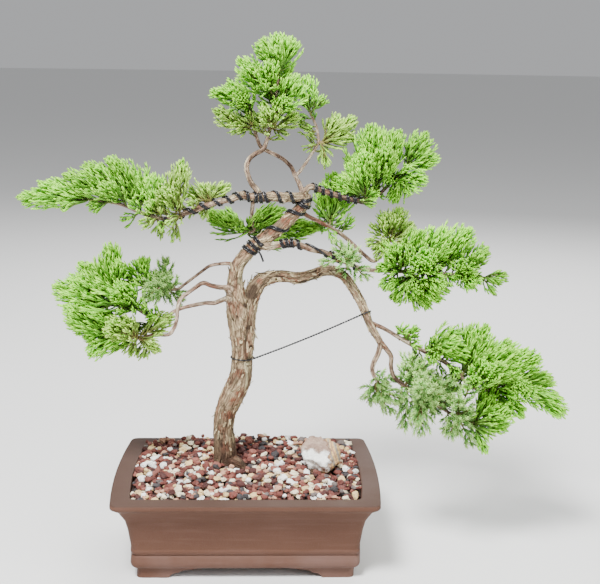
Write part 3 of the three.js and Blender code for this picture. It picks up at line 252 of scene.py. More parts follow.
SPRAYS = [
    ("spray_apex_top", FRESH, "loop_left", 12, [(30, 6, 621, 17), (50, 20, 615, 14), (9, -8, 609, 15)]),
    ("spray_apex_front", FRESH, "loop_left", 11, [(21, -42, 587, 18), (-12, -12, 592, 13)]),
    ("spray_apex_back", FRESH, "loop_left", 10.5, [(42, 52, 595, 20), (8, 46, 575, 16)]),
    ("spray_apex_left", FRESH, "loop_right", 10, [
        (-26, 12, 566, 13), (-45, 4, 554, 8), (-11, -30, 545, 13)]),
    ("spray_apex_low_left", OLIVE, "loop_right", 9, [
        (-41, -2, 534, 9), (-21, -6, 514, 8), (1, 50, 528, 16)]),
    ("spray_apex_right", FRESH, "loop_left", 10, [(58, 8, 574, 15), (40, -34, 546, 14)]),
    ("spray_apex_low_right", OLIVE, "loop_left", 9, [
        (59, 14, 530, 12), (18, -38, 537, 14), (45, -4, 504, 12)]),
    ("spray_crown_plume", FRESH, "crown_twig", 6, [
        (68, 20, 574, 10), (89, 14, 548, 14), (62, 18, 545, 10)]),
    ("spray_crown_fan", OLIVE, "crown_twig", 4, [
        (106, 28, 529, 15), (126, 22, 525, 14), (122, 18, 503, 10), (90, 20, 480, 9), (63, 18, 487, 7),
        (90, 20, 464, 7)]),
    ("spray_high_left", FRESH, "high_branch", 6, [
        (115, 28, 481, 14), (132, -8, 490, 13), (99, 38, 453, 11)]),
    ("spray_high_middle", FRESH, "high_branch", 7, [(141, 18, 520, 18), (158, -22, 494, 17)]),
    ("spray_high_right", FRESH, "high_branch", 8, [
        (175, 26, 513, 18), (173, 70, 494, 17), (210, 8, 455, 14)]),
    ("spray_high_tip", FRESH, "high_branch", 9, [
        (211, 30, 509, 17), (226, 26, 479, 16), (170, 20, 424, 11)]),
    ("spray_back_low", FRESH, "back_twig", 5, [
        (-34, 54, 412, 13), (44, 62, 412, 13), (-52, 50, 411, 11), (86, 40, 393, 11), (-12, 16, 404, 9),
        (20, 20, 409, 10)]),
    ("spray_back_right", FRESH, "thin_branch", 3, [
        (122, 46, 442, 14), (85, 54, 388, 11), (104, 48, 460, 14), (84, 40, 447, 13)]),
    ("spray_middle_feather", OLIVE, "thin_branch", 9, [
        (183, 34, 420, 16), (156, 20, 414, 14), (203, 46, 396, 15), (143, 30, 400, 11), (172, 26, 386, 13),
        (140, 26, 374, 12), (150, 22, 358, 11), (190, 24, 372, 12)]),
    ("spray_middle_left", FRESH, "lower_branch", 12, [
        (206, 2, 398, 16), (166, -24, 384, 16), (158, -4, 325, 15), (150, -14, 354, 13)]),
    ("spray_middle_front", FRESH, "lower_branch", 13, [
        (236, 10, 400, 16), (200, -46, 368, 17), (224, -44, 338, 14)]),
    ("spray_middle_back", FRESH, "lower_branch", 14, [(266, 14, 399, 16), (251, 66, 365, 16)]),
    ("spray_middle_low", FRESH, "lower_branch", 12.6, [
        (174, 2, 308, 15), (217, 4, 302, 14), (203, 46, 322, 13), (240, 0, 322, 13), (224, -30, 318, 13),
        (160, 0, 326, 12), (196, -36, 330, 13)]),
    ("spray_middle_right", FRESH, "lower_branch", 15, [
        (287, 14, 376, 14), (245, -40, 360, 16), (274, 58, 324, 13), (262, -34, 338, 13)]),
    ("spray_middle_tip", FRESH, "lower_branch", 16, [(311, 10, 336, 11), (295, 4, 317, 10)]),
    ("spray_middle_inner", NEEDLE, "lower_branch", 8, [
        (99, -16, 387, 8), (122, -24, 377, 9), (81, -14, 361, 6)]),
    ("spray_low_stray", NEEDLE, "fork_left", 4.2, [
        (141, -20, 191, 10), (172, -26, 179, 11), (183, -46, 202, 11)]),
    ("spray_low_sprig", FRESH, "fork_top", 3.7, [(174, -12, 286, 3.5), (200, -12, 287, 3.5)]),
    ("spray_low_inner", NEEDLE, "fork_middle", 5, [
        (190, -28, 257, 15), (188, -22, 158, 13), (214, -36, 250, 14), (226, -30, 230, 13)]),
    ("spray_low_front", NEEDLE, "fork_middle", 6, [
        (198, -80, 234, 16), (207, -40, 157, 12), (224, -60, 216, 15), (244, -44, 226, 14)]),
    ("spray_low_hollow", NEEDLE, "fork_middle", 7, [
        (225, 30, 190, 16), (206, 24, 168, 13), (252, 10, 208, 14), (256, -8, 232, 13)]),
    ("spray_low_hanging", NEEDLE, "fork_middle", 8, [
        (270, -34, 142, 10), (262, -58, 198, 14), (234, -68, 166, 13), (262, -50, 232, 14)]),
    ("spray_low_fan", FRESH, "fork_middle", 9, [
        (311, -38, 172, 17), (286, -30, 131, 6), (303, -68, 200, 18), (285, -50, 212, 13),
        (290, -26, 226, 12)]),
    ("spray_low_top_left", FRESH, "fork_top", 5, [
        (240, -16, 270, 13), (255, -6, 275, 15), (214, -60, 254, 14), (262, -30, 252, 15)]),
    ("spray_low_top", FRESH, "fork_top", 7, [(280, -30, 292, 18), (280, 42, 238, 17), (296, -44, 262, 18)]),
    ("spray_low_top_right", FRESH, "fork_top", 8, [
        (308, -36, 274, 18), (273, -86, 255, 16), (330, -30, 262, 15)]),
    ("spray_low_outer", FRESH, "fork_top", 9, [
        (347, -28, 253, 17), (328, -38, 180, 15), (340, 32, 205, 15), (318, -46, 212, 16)]),
    ("spray_low_tip", FRESH, "fork_top", 10, [
        (380, -32, 182, 13), (364, -26, 224, 14), (317, -78, 225, 13)]),
    ("spray_left_top", FRESH, "low_left_a", 9, [
        (-124, 22, 360, 15), (-163, 48, 340, 16), (-134, 10, 334, 12)]),
    ("spray_left_top_right", NEEDLE, "low_left_a", 8, [
        (-99, 14, 359, 13), (-120, 78, 319, 15), (-78, 36, 300, 10), (-92, 20, 318, 11),
        (-114, -42, 324, 12)]),
    ("spray_left_crest", FRESH, "low_left_c", 10, [
        (-160, -2, 381, 16), (-197, -4, 357, 15), (-193, 54, 299, 17)]),
    ("spray_left_tip", FRESH, "low_left_c", 9, [(-229, -6, 329, 16), (-143, -62, 341, 16)]),
    ("spray_left_outer", FRESH, "low_left_c", 8, [(-211, -14, 288, 15)]),
    ("spray_left_low", FRESH, "low_left_b", 13, [(-185, -26, 249, 13), (-212, -30, 310, 13)]),
    ("spray_left_low_right", OLIVE, "low_left_b", 12, [
        (-136, -30, 249, 11), (-156, -72, 300, 15), (-99, -26, 255, 8), (-87, 10, 290, 10)]),
    ("spray_branch_tip", FRESH, "crown", 17, [(-264, -12, 432, 9), (-240, -8, 450, 9)]),
    ("spray_branch_outer", FRESH, "crown", 16, [(-210, -16, 461, 10), (-181, -20, 418, 7)]),
    ("spray_branch_outer_top", FRESH, "crown", 15, [(-188, -10, 472, 11), (-165, -46, 452, 10)]),
    ("spray_branch_crest", FRESH, "crown", 14, [(-160, -14, 481, 12), (-159, 20, 452, 11)]),
    ("spray_branch_middle", FRESH, "crown", 12.8, [(-137, -2, 464, 11), (-107, -10, 463, 11)]),
    ("spray_branch_hanging", OLIVE, "crown", 12.8, [(-117, -22, 402, 5), (-85, -20, 399, 5)]),
    ("spray_branch_inner", OLIVE, "crown", 11, [(-75, -10, 479, 10), (-97, -46, 447, 10)]),
    ("spray_branch_base", OLIVE, "crown", 9, [(-48, -4, 451, 10), (-69, 26, 436, 10), (-19, 0, 449, 7)]),
]

# The room: the light from all round, and the lamps, each with its place, size and share of the
# key light's power. They all face one point.
WORLD_COLOUR = (0.82, 0.83, 0.85, 1)
WORLD_STRENGTH = 0.55
LIT_POINT = (0, 0, 0.3)
LIGHTS = {
    "key_light": ((-0.7, -1.3, 2.3), 0.7, 1),
    "fill_light": ((1.6, -1.3, 1.1), 1.6, 0.2),
    "back_light": ((0.5, 1.7, 1.7), 1.4, 0.3),
}

# The camera, solved from the pot's corners and the wood: place from the pot's centre, angles and lens.
CAMERA_PLACE = (15.876, -1250.224, 594.744)
CAMERA_YAW = 2.091
CAMERA_PITCH = 12.294
CAMERA_ROLL = 0.838
CAMERA_LENS = 65.17


# Sizes and colours that a user would change


def colour_setting(name, description, *parts):
    return FloatVectorProperty(
        name=name, description=description, subtype="COLOR", size=3, min=0, max=1, default=parts)


def length_setting(name, description, length, low, high):
    """A length and its limits, in millimetres."""
    return FloatProperty(
        name=name, description=description, default=length * MM, min=low * MM, max=high * MM, unit="LENGTH")


def seed_setting(thing, seed):
    return IntProperty(name="Seed", description=f"Start of the {thing} random draw", default=seed, min=0)


class PotSettings(bpy.types.PropertyGroup):
    clay: colour_setting("Clay", "Colour of the unglazed walls", 0.103, 0.045, 0.026)
    rim_clay: colour_setting("Rim clay", "Colour of the rim's darker top", 0.053, 0.029, 0.020)
    edge_round: length_setting("Edge rounding", "How far each edge of the profile is rounded", 1.3, 0.2, 3)


class GravelSettings(bpy.types.PropertyGroup):
    pitch: length_setting("Pitch", "Distance between neighbouring pebbles", 6.7, 5, 15)
    smallest: length_setting("Smallest", "Width of the smallest pebbles", 5.6, 3, 12)
    largest: length_setting("Largest", "Width of the largest pebbles", 10.6, 4, 20)
    seed: seed_setting("pebbles'", 11)


class RockSettings(bpy.types.PropertyGroup):
    seed: seed_setting("rock's", 8)


class WoodSettings(bpy.types.PropertyGroup):
    voxel: length_setting("Voxel", "Size of the mesh that the limbs are fused with", 1.12, 0.8, 4)
    relief: length_setting("Bark relief", "Height of the bark's ridges on the trunk", 3.2, 0, 6)
    flakes: IntProperty(
        name="Flakes", description="Number of curled flakes on the old wood", default=640, min=0, max=4000)
    seed: seed_setting("flakes'", 3)
    bark: colour_setting("Bark", "Colour of the weathered plates", 0.52, 0.39, 0.23)
    # The crack colour also paints the shade in hollows and low cracks.
    crack: colour_setting("Cracks", "Colour deep in the cracks", 0.05, 0.032, 0.022)
    fresh_bark: colour_setting("Fresh bark", "Colour where a strip has peeled off", 0.23, 0.088, 0.052)


class WireSettings(bpy.types.PropertyGroup):
    coating: colour_setting("Coating", "Colour of the anodised wire", 0.012, 0.011, 0.013)
    steps: IntProperty(name="Steps", description="Points in a turn of wire", default=16, min=8, max=48)


class FoliageSettings(bpy.types.PropertyGroup):
    cord_spacing: length_setting(
        "Cord spacing", "Length of stem for each cord that grows from it", 2.1, 0.5, 8)
    branchlet_spacing: length_setting(
        "Branchlet spacing", "Length of leader for each branchlet that grows from it", 20, 2, 60)
    shoot_spacing: length_setting(
        "Shoot spacing", "Length of limb for each short stem that clothes it", 4, 1, 30)
    fullness: FloatProperty(
        name="Fullness", description="How far the branchlets reach, as a share of the plume's half width",
        default=1.6, min=0.5, max=3)
    cord_radius: length_setting(
        "Cord radius", "Radius of a cord of scale leaves near its foot", 1.15, 0.3, 2)
    leader_radius: length_setting(
        "Leader radius", "Radius of a plume's leader where it leaves the wood", 1.35, 0.5, 3)
    green: colour_setting("Green", "Colour of full-grown scale leaves", 0.07, 0.215, 0.022)
    tip_green: colour_setting("Tip green", "Colour of the growing tips", 0.52, 1.0, 0.10)
    needle_green: colour_setting("Needle green", "Colour of the blue-green needles", 0.26, 0.60, 0.14)
    seed: seed_setting("foliage's", 5)


class StageSettings(bpy.types.PropertyGroup):
    floor: colour_setting("Floor", "Colour of the pale floor", 0.78, 0.78, 0.77)
    key_power: FloatProperty(
        name="Key light", description="Power of the large soft light", default=170, min=0, unit="POWER")


# Numbers and directions


def clamp(value, low=0, high=1):
    return min(max(value, low), high)


def steps(count):
    return np.linspace(0, 1, count)[:, None]


def quadratic(start, bend, end, share):
    """Shares of the way along a curve that leaves its start towards the bend and ends coming from it."""
    return (1 - share) ** 2 * start + 2 * share * (1 - share) * bend + share ** 2 * end


def unit(way):
    return way / np.linalg.norm(way)


def units(ways):
    return ways / np.linalg.norm(ways, axis=-1, keepdims=True)


def square_to(way, line):
    """The part of a direction that is square to another, which has a length of one."""
    return way - line * way.dot(line)


def swing(first, second, angle):
    """A direction turned by an angle from the first direction towards the second."""
    return first * math.cos(angle) + second * math.sin(angle)


def ripple(*place, basis="PERLIN_ORIGINAL"):
    return noise.noise(Vector(place), noise_basis=basis)


# Working on objects


def clear_selection():
    if bpy.context.object and bpy.context.object.mode != "OBJECT":
        bpy.ops.object.mode_set(mode="OBJECT")
    bpy.ops.object.select_all(action="DESELECT")


def choose(*pieces):
    clear_selection()
    for piece in pieces:
        piece.select_set(True)
    bpy.context.view_layer.objects.active = pieces[-1]


def named(name):
    piece = bpy.context.object
    piece.name = name
    piece.data.name = name
    return piece


@contextmanager
def editing(piece):
    """Edit mode on a piece, with all of it selected."""
    choose(piece)
    bpy.ops.object.mode_set(mode="EDIT")
    bpy.ops.mesh.select_all(action="SELECT")
    yield
    bpy.ops.object.mode_set(mode="OBJECT")


def extrude(along):
    bpy.ops.mesh.extrude_region_move(TRANSFORM_OT_translate={"value": along})


def face_outwards():
    bpy.ops.mesh.select_all(action="SELECT")
    bpy.ops.mesh.normals_make_consistent(inside=False)


def finish_with(piece, kind, **settings):
    """Adds a modifier to a piece and applies it."""
    modifier = piece.modifiers.new(kind.title(), kind)
    for key, value in settings.items():
        setattr(modifier, key, value)
    choose(piece)
    bpy.ops.object.modifier_apply(modifier=modifier.name)


def wear(piece, kind, size, strength, **settings):
    """Pushes a piece's surface about by a texture of some size."""
    texture = bpy.data.textures.new("wear", kind)
    texture.noise_scale = size
    finish_with(piece, "DISPLACE", texture=texture, strength=strength, mid_level=0.5, **settings)
    bpy.data.textures.remove(texture)


def join_pieces(pieces, name):
    choose(*pieces)
    bpy.ops.object.join()
    return named(name)


def in_frame(point):
    """A point from the tables, in metres from the middle of the tree's spread."""
    return Vector(((point[0] - TREE_MIDDLE) * MM, point[1] * MM, point[2] * MM))


def keep(piece, material, slot, *nodes):
    """Gives a finished piece its material and hangs it on the tree's body, in place of any solids."""
    piece.data.materials.clear()
    piece.data.materials.append(material)
    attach(piece, "root")
    if nodes:
        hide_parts(*nodes)


def corners_of(piece):
    places = np.empty(3 * len(piece.data.vertices), np.float32)
    piece.data.vertices.foreach_get("co", places)
    return places.reshape(-1, 3)


def set_attributes(mesh, **columns):
    """Stores a number or a vector for each corner of a mesh under each name."""
    for name, values in columns.items():
        values = np.asarray(values, np.float32)
        kind, key = ("FLOAT_VECTOR", "vector") if values.ndim == 2 else ("FLOAT", "value")
        mesh.attributes.new(name, kind, "POINT").data.foreach_set(key, values.ravel())


class Shape:
    """A small modelled mesh to copy: its corners, its faces' sizes and the corners of each face."""

    def __init__(self, piece):
        faces = piece.data.polygons
        self.corners = corners_of(piece)
        self.sizes = np.array([len(face.vertices) for face in faces])
        self.links = np.concatenate([face.vertices[:] for face in faces])
        bpy.data.objects.remove(piece)


class Heap:
    """Many copies of small shapes, gathered into one piece with attributes for each corner."""

    def __init__(self):
        self.corners, self.sizes, self.links, self.columns = [], [], [], {}
        self.total = 0

    def add(self, shape, corners, **columns):
        """Adds copies of a shape with their corners. An attribute is given as one number, as a number
        for each copy or each corner, or as a vector for each corner of each copy."""
        copies = corners.reshape(-1, len(shape.corners), 3)
        starts = self.total + len(shape.corners) * np.arange(len(copies))
        self.corners.append(copies.reshape(-1, 3))
        self.sizes.append(np.tile(shape.sizes, len(copies)))
        self.links.append((shape.links + starts[:, None]).ravel())
        for name, values in columns.items():
            parts = np.shape(values)[2:]
            whole = np.broadcast_to(values, copies.shape[:2] + parts).reshape(-1, *parts)
            self.columns.setdefault(name, []).append(whole)
        self.total += copies.shape[0] * copies.shape[1]

    def build(self, name, smooth=True):
        sizes, links = np.concatenate(self.sizes), np.concatenate(self.links)
        mesh = bpy.data.meshes.new(name)
        mesh.vertices.add(self.total)
        mesh.vertices.foreach_set("co", np.concatenate(self.corners).astype(np.float32).ravel())
        mesh.loops.add(len(links))
        mesh.loops.foreach_set("vertex_index", links.astype(np.int32))
        mesh.polygons.add(len(sizes))
        mesh.polygons.foreach_set("loop_start", (np.cumsum(sizes) - sizes).astype(np.int32))
        mesh.polygons.foreach_set("use_smooth", np.full(len(sizes), smooth))
        mesh.update(calc_edges=True)
        mesh.validate()
        piece = bpy.data.objects.new(name, mesh)
        bpy.context.scene.collection.objects.link(piece)
        set_attributes(mesh, **{key: np.concatenate(parts) for key, parts in self.columns.items()})
        return piece


# Materials


class Recipe:
    """A material being put together from nodes. Colours have three parts, and most methods give
    back the socket that the next ones take."""

    def __init__(self, name):
        self.material = bpy.data.materials.new(name)
        self.material.use_nodes = True
        self.tree = self.material.node_tree
        self.shader = self.tree.nodes["Principled BSDF"]

    def add(self, kind, output, inputs=(), **settings):
        made = self.tree.nodes.new(f"ShaderNode{kind}")
        for key, value in settings.items():
            setattr(made, key, value)
        for key, value in dict(inputs).items():
            self.put(made.inputs[key], value)
        return made.outputs[output]

    def put(self, socket, value):
        if isinstance(value, bpy.types.NodeSocket):
            self.tree.links.new(value, socket)
        else:
            socket.default_value = (*value, 1) if socket.type == "RGBA" else value

    def place(self, stretch=(1, 1, 1), attribute=None):
        """Object coordinates, or those of an attribute, stretched."""
        if attribute:
            source = self.add("Attribute", "Vector", attribute_name=attribute)
        else:
            source = self.add("TexCoord", "Object")
        return self.add("Mapping", 0, {"Vector": source, "Scale": stretch})

    def axes(self, vector):
        return self.add("SeparateXYZ", 0, {"Vector": vector}).node.outputs

    def value(self, attribute):
        return self.add("Attribute", "Fac", attribute_name=attribute)

    def noise(self, vector, scale, detail=3.0, roughness=0.55):
        inputs = {"Vector": vector, "Scale": scale, "Detail": detail, "Roughness": roughness}
        return self.add("TexNoise", "Fac", inputs)

    def cells(self, vector, scale, output="Distance", feature="F1"):
        return self.add("TexVoronoi", output, {"Vector": vector, "Scale": scale}, feature=feature)

    def plates(self, vector):
        """A random value for each cell, and the distance to the cell's edge."""
        cell = self.cells(vector, 1.0, "Color")
        edge = self.cells(vector, 1.0, feature="DISTANCE_TO_EDGE")
        return self.add("SeparateColor", "Red", {"Color": cell}), edge

    def warp(self, vector, scale, amount):
        """A space pushed about by noise, so that the lines of a pattern run crooked."""
        push = self.add("TexNoise", "Color", {"Vector": vector, "Scale": scale, "Detail": 3.0})
        push = self.add("VectorMath", 0, {0: push, 1: (0.5, 0.5, 0.5)}, operation="SUBTRACT")
        return self.add("VectorMath", 0, {0: push, 2: vector, 1: (amount,) * 3}, operation="MULTIPLY_ADD")

    def ramp(self, amount, *stops, interpolation="LINEAR"):
        colours = self.add("ValToRGB", "Color", {"Fac": amount})
        made = colours.node.color_ramp
        made.interpolation = interpolation
        while len(made.elements) < len(stops):
            made.elements.new(0.5)
        for element, (place, colour) in zip(made.elements, stops):
            element.position = place
            element.color = (*colour, 1)
        return colours

    def mix(self, amount, first, second):
        return self.add("Mix", 2, {"Factor": amount, 6: first, 7: second}, data_type="RGBA")

    def cover(self, base, colour, amount, low, high, most=1.0):
        """A base under a colour that grows stronger, up to most, as an amount goes from low to high."""
        return self.mix(self.spread(amount, low, high, 0, most), base, colour)

    def sum(self, first, second, operation="ADD"):
        return self.add("Math", 0, {0: first, 1: second}, operation=operation)

    def times(self, first, second):
        return self.sum(first, second, "MULTIPLY")

    def spread(self, amount, low, high, to_low=0.0, to_high=1.0):
        inputs = {"Value": amount, "From Min": low, "From Max": high, "To Min": to_low, "To Max": to_high}
        return self.add("MapRange", "Result", inputs)

    def bump(self, height, distance, strength=1.0):
        inputs = {"Height": height, "Distance": distance * MM, "Strength": strength}
        self.put(self.shader.inputs["Normal"], self.add("Bump", "Normal", inputs))

    def finish(self, colour, roughness, specular=0.5, **sockets):
        sockets.update({"Base Color": colour, "Roughness": roughness, "Specular IOR Level": specular})
        for key, value in sockets.items():
            self.put(self.shader.inputs[key], value)
        return self.material


# The pot


def rounded_profile(reach):
    """The pot's profile with each corner rounded by three points."""
    points = [np.array(point, float) for point in POT_PROFILE]
    result = [points[0]]
    for before, here, after in zip(points, points[1:], points[2:]):
        start, end = (
            here + way * min(reach / np.linalg.norm(way), 0.4) for way in (before - here, after - here))
        result += [start, (start + 2 * here + end) / 4, end]
    return result + [points[-1]]


def pot_outline():
    """The pot's outline at the foot, as a flat face with rounded corners and bowed short sides."""
    inset = POT_PROFILE[0][1]
    half_length = (POT_LENGTH / 2 - POT_BOW - inset) * MM
    half_depth = (POT_DEPTH / 2 - inset) * MM
    middle = (-TREE_MIDDLE * MM, 0, 0)
    clear_selection()
    bpy.ops.mesh.primitive_plane_add(size=2, location=middle)
    outline = named("pot_walls")
    bpy.ops.object.transform_apply(location=True, rotation=False, scale=False)
    with editing(outline):
        bpy.ops.transform.resize(value=(half_length, half_depth, 1), center_override=middle)
        bpy.ops.mesh.bevel(offset=CORNER_RADIUS * MM, segments=5, affect="VERTICES")
    mesh = outline.data
    for edge in mesh.edges:
        ends = [mesh.vertices[corner].co for corner in edge.vertices]
        edge.select = abs(ends[0].y - ends[1].y) > half_depth
    bpy.ops.object.mode_set(mode="EDIT")
    bpy.ops.mesh.select_mode(type="EDGE")
    bpy.ops.mesh.subdivide(number_cuts=7)
    bpy.ops.mesh.select_mode(type="VERT")
    bpy.ops.object.mode_set(mode="OBJECT")
    straight = half_depth - CORNER_RADIUS * MM
    for corner in mesh.vertices:
        aside = corner.co.x + TREE_MIDDLE * MM
        if abs(aside) > half_length - 1e-6 and abs(corner.co.y) < straight:
            bow = POT_BOW * MM * (1 - (corner.co.y / straight) ** 2)
            corner.co.x += math.copysign(bow, aside)
    return outline


def arch_cutter(name, half_width, through, turned):
    """The cloud-shaped opening between two feet, as a closed bar to cut with."""
    arch = [np.array((0, -1)), np.array((0, 0))]
    for bend, end in (((2, 6), (11, 6)), ((14, 10), (28, 10)), ((32, FOOT_HEIGHT), (42, FOOT_HEIGHT))):
        arch += list(quadratic(arch[-1], np.array(bend), np.array(end), steps(5))[1:])
    side = [(half_width - x, z) for x, z in arch]
    outline = side + [(-x, z) for x, z in reversed(side)]
    clear_selection()
    bpy.ops.mesh.primitive_circle_add(vertices=len(outline), fill_type="NGON")
    cutter = named(name)
    for corner, (x, z) in zip(cutter.data.vertices, outline):
        corner.co = (x * MM, through / 2 * MM, z * MM)
    with editing(cutter):
        extrude((0, -through * MM, 0))
        face_outwards()
    if turned:
        cutter.rotation_euler.z = math.pi / 2
    cutter.location.x = -TREE_MIDDLE * MM
    bpy.ops.object.transform_apply(location=True, rotation=True, scale=True)
    return cutter


def cut_away(piece, cutter):
    finish_with(piece, "BOOLEAN", operation="DIFFERENCE", object=cutter, solver="EXACT")
    bpy.data.objects.remove(cutter)


def unglazed_clay(settings):
    recipe = Recipe("unglazed_stoneware")
    place = recipe.place()
    cloud = recipe.noise(place, 14, 4)
    grain = recipe.noise(place, 900, 2)
    speck = recipe.cells(place, 420)
    height = recipe.axes(place)["Z"]
    top = recipe.spread(height, 0.0985, 0.0996)
    streaks = recipe.noise(recipe.place((6, 6, 90)), 3, 4)
    clay = recipe.mix(cloud, settings.clay, [0.72 * part for part in settings.clay])
    clay = recipe.cover(clay, (0.21, 0.125, 0.105), streaks, 0.5, 0.85, 0.2)
    dust = recipe.times(recipe.spread(height, 0.036, 0.026, 0, 0.3), recipe.spread(cloud, 0.35, 0.6))
    clay = recipe.mix(dust, clay, (0.24, 0.155, 0.135))
    clay = recipe.cover(clay, settings.rim_clay, top, 0, 1, 0.85)
    clay = recipe.cover(clay, (0.3, 0.22, 0.19), speck, 0.09, 0.04, 0.5)
    clay = recipe.cover(clay, (0.10, 0.062, 0.055), grain, 0.4, 0.7, 0.3)
    recipe.bump(recipe.sum(grain, recipe.times(cloud, 1.5)), 0.25, 0.5)
    return recipe.finish(clay, recipe.spread(cloud, 0.3, 0.7, 0.6, 0.78), 0.22)


class BONSAI_OT_pot(bpy.types.Operator):
    """Raises the pot's walls from its outline and cuts the feet and drain holes"""

    bl_idname = "bonsai.pot"
    bl_label = "Pot"

    def execute(self, context):
        settings = context.scene.bonsai_pot
        pot = pot_outline()
        profile = rounded_profile(settings.edge_round / MM)
        with editing(pot):
            for (low, low_inset), (high, high_inset) in zip(profile, profile[1:]):
                extrude((0, 0, (high - low) * MM))
                shrink = [
                    (side / 2 - high_inset) / (side / 2 - low_inset) for side in (POT_LENGTH, POT_DEPTH)]
                centre = (-TREE_MIDDLE * MM, 0, high * MM)
                bpy.ops.transform.resize(value=(*shrink, 1), center_override=centre)
            bpy.ops.mesh.select_all(action="SELECT")
            bpy.ops.mesh.remove_doubles(threshold=1e-6)
            face_outwards()
        self.cut_feet(pot)
        choose(pot)
        bpy.ops.object.shade_smooth_by_angle(angle=SMOOTH_UNDER)
        keep(pot, unglazed_clay(settings), "stoneware", "pot")
        return {"FINISHED"}

    def cut_feet(self, pot):
        inset = POT_PROFILE[1][1] + FOOT_THICKNESS
        clear_selection()
        bpy.ops.mesh.primitive_cube_add(
            size=1, location=(-TREE_MIDDLE * MM, 0, 0),
            scale=((POT_LENGTH - 2 * inset) * MM, (POT_DEPTH - 2 * inset) * MM, 2 * FOOT_HEIGHT * MM))
        cut_away(pot, named("under_cutter"))
        cut_away(pot, arch_cutter("front_cutter", FRONT_ARCH, POT_DEPTH, False))
        cut_away(pot, arch_cutter("side_cutter", SIDE_ARCH, POT_LENGTH, True))
        for side in (-1, 1):
            clear_selection()
            bpy.ops.mesh.primitive_cylinder_add(
                vertices=32, radius=DRAIN_DIAMETER / 2 * MM, depth=20 * MM,
                location=((side * DRAIN_SPACING / 2 - TREE_MIDDLE) * MM, 0, (FOOT_HEIGHT + 4) * MM))
            cut_away(pot, named("drain_cutter"))


class BONSAI_OT_soil(bpy.types.Operator):
    """Gives the hidden soil block its finish"""

    bl_idname = "bonsai.soil"
    bl_label = "Soil"

    def execute(self, context):
        recipe = Recipe("potting_soil")
        crumb = recipe.noise(recipe.place(), 300, 5, 0.7)
        colour = recipe.ramp(crumb, (0.35, (0.012, 0.008, 0.006)), (0.7, (0.075, 0.045, 0.028)))
        recipe.bump(crumb, 1.5)
        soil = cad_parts["soil"]
        soil.data.materials.clear()
        soil.data.materials.append(recipe.finish(colour, 0.97, 0.15))
        return {"FINISHED"}


# The gravel and the rock


def gravel_height(x, y):
    """The height of the heaped gravel's bed at a place in the pot, in the tables' measure."""
    back = clamp((y + ROOM[1]) / (2 * ROOM[1]))
    middle = 1 - (x / ROOM[0]) ** 2
    return BED_FRONT + BED_RISE * back + BED_HEAP * back * max(middle, 0)


def gravel_bed():
    clear_selection()
    bpy.ops.mesh.primitive_grid_add(x_subdivisions=66, y_subdivisions=48, size=2)
    bed = named("gravel_bed")
    for corner in bed.data.vertices:
        x = corner.co.x * BED[0]
        y = corner.co.y * BED[1]
        rough = BED_ROUGHNESS * noise.noise(Vector((x, y, 0)) / 5)
        corner.co = in_frame((x, y, gravel_height(x, y) - BED_DROP + rough))
    finish_with(bed, "SOLIDIFY", thickness=BED_THICKNESS * MM, offset=-1)
    choose(bed)
    bpy.ops.object.shade_smooth()
    return bed


def worn_pebble(rng):
    """A worn pebble a metre across."""
    clear_selection()
    bpy.ops.mesh.primitive_ico_sphere_add(subdivisions=2, radius=0.5)
    stone = named("pebble")
    offset = bpy.data.objects.new("wear_place", None)
    bpy.context.scene.collection.objects.link(offset)
    offset.location = rng.uniform(-9, 9, 3)
    wear(stone, "CLOUDS", 0.5, 0.8, texture_coords="OBJECT", texture_coords_object=offset)
    with editing(stone):
        bpy.ops.transform.resize(value=(1, rng.uniform(0.72, 0.95), rng.uniform(0.6, 0.8)))
    bpy.data.objects.remove(offset)
    return Shape(stone)


def random_turn(rng):
    """A turn that keeps a pebble nearly flat on its bed."""
    turn = Matrix.Rotation(rng.uniform(0, 2 * math.pi), 3, "Z")
    return np.array(Matrix.Rotation(rng.uniform(-0.5, 0.5), 3, "X") @ turn)


def outside(oval, x, y):
    return math.hypot((x - oval[0]) / oval[2], (y - oval[1]) / oval[3]) > 1


def has_room(x, y, radius):
    """Whether a pebble at a place clears the pot's walls, the trunk, its root and the rock."""
    bow = POT_BOW * (1 - (y / ROOM[1]) ** 2)
    inside = abs(x) < PEBBLE_ROOM[0] + bow - radius * 0.9 and abs(y) < PEBBLE_ROOM[1] - radius * 0.9
    trunk = math.hypot(x - TRUNK_FOOT[0], y - TRUNK_FOOT[1]) > TRUNK_FOOT[2] + radius * 0.4
    return inside and trunk and outside(ROOT_OVAL, x, y) and outside(ROCK_OVAL, x, y)


def spread_pebbles(settings, rng):
    shapes = [worn_pebble(rng) for _ in range(7)]
    pitch = settings.pitch / MM
    heap = Heap()
    for share, lift in LAYERS:
        for row in range(int(GRID_DEPTH / (pitch * ROW_SHARE))):
            for column in range(int(2 * GRID[0] / pitch) + 1):
                x = -GRID[0] + (column + row % 2 / 2) * pitch + rng.uniform(-GRID_STRAY, GRID_STRAY)
                y = -GRID[1] + row * pitch * ROW_SHARE + rng.uniform(-GRID_STRAY, GRID_STRAY)
                size = rng.uniform(settings.smallest, settings.largest) * rng.uniform(0.85, 1)
                tone, kind, turn = rng.uniform(), rng.uniform(), random_turn(rng)
                if rng.uniform() > share or not has_room(x, y, size / MM / 2):
                    continue
                # Behind the trunk more red and black stones are chosen, as painted shade.
                if not outside(PAINTED_SHADE_OVAL, x, y):
                    kind *= 0.6
                shape = shapes[rng.integers(len(shapes))]
                z = gravel_height(x, y) + lift + rng.uniform(-0.8, 0.8)
                corners = shape.corners @ turn.T * size + np.array(in_frame((x, y, z)))
                heap.add(shape, corners, stone_kind=kind, stone_tone=tone)
    return heap.build("gravel_pebbles", smooth=False)


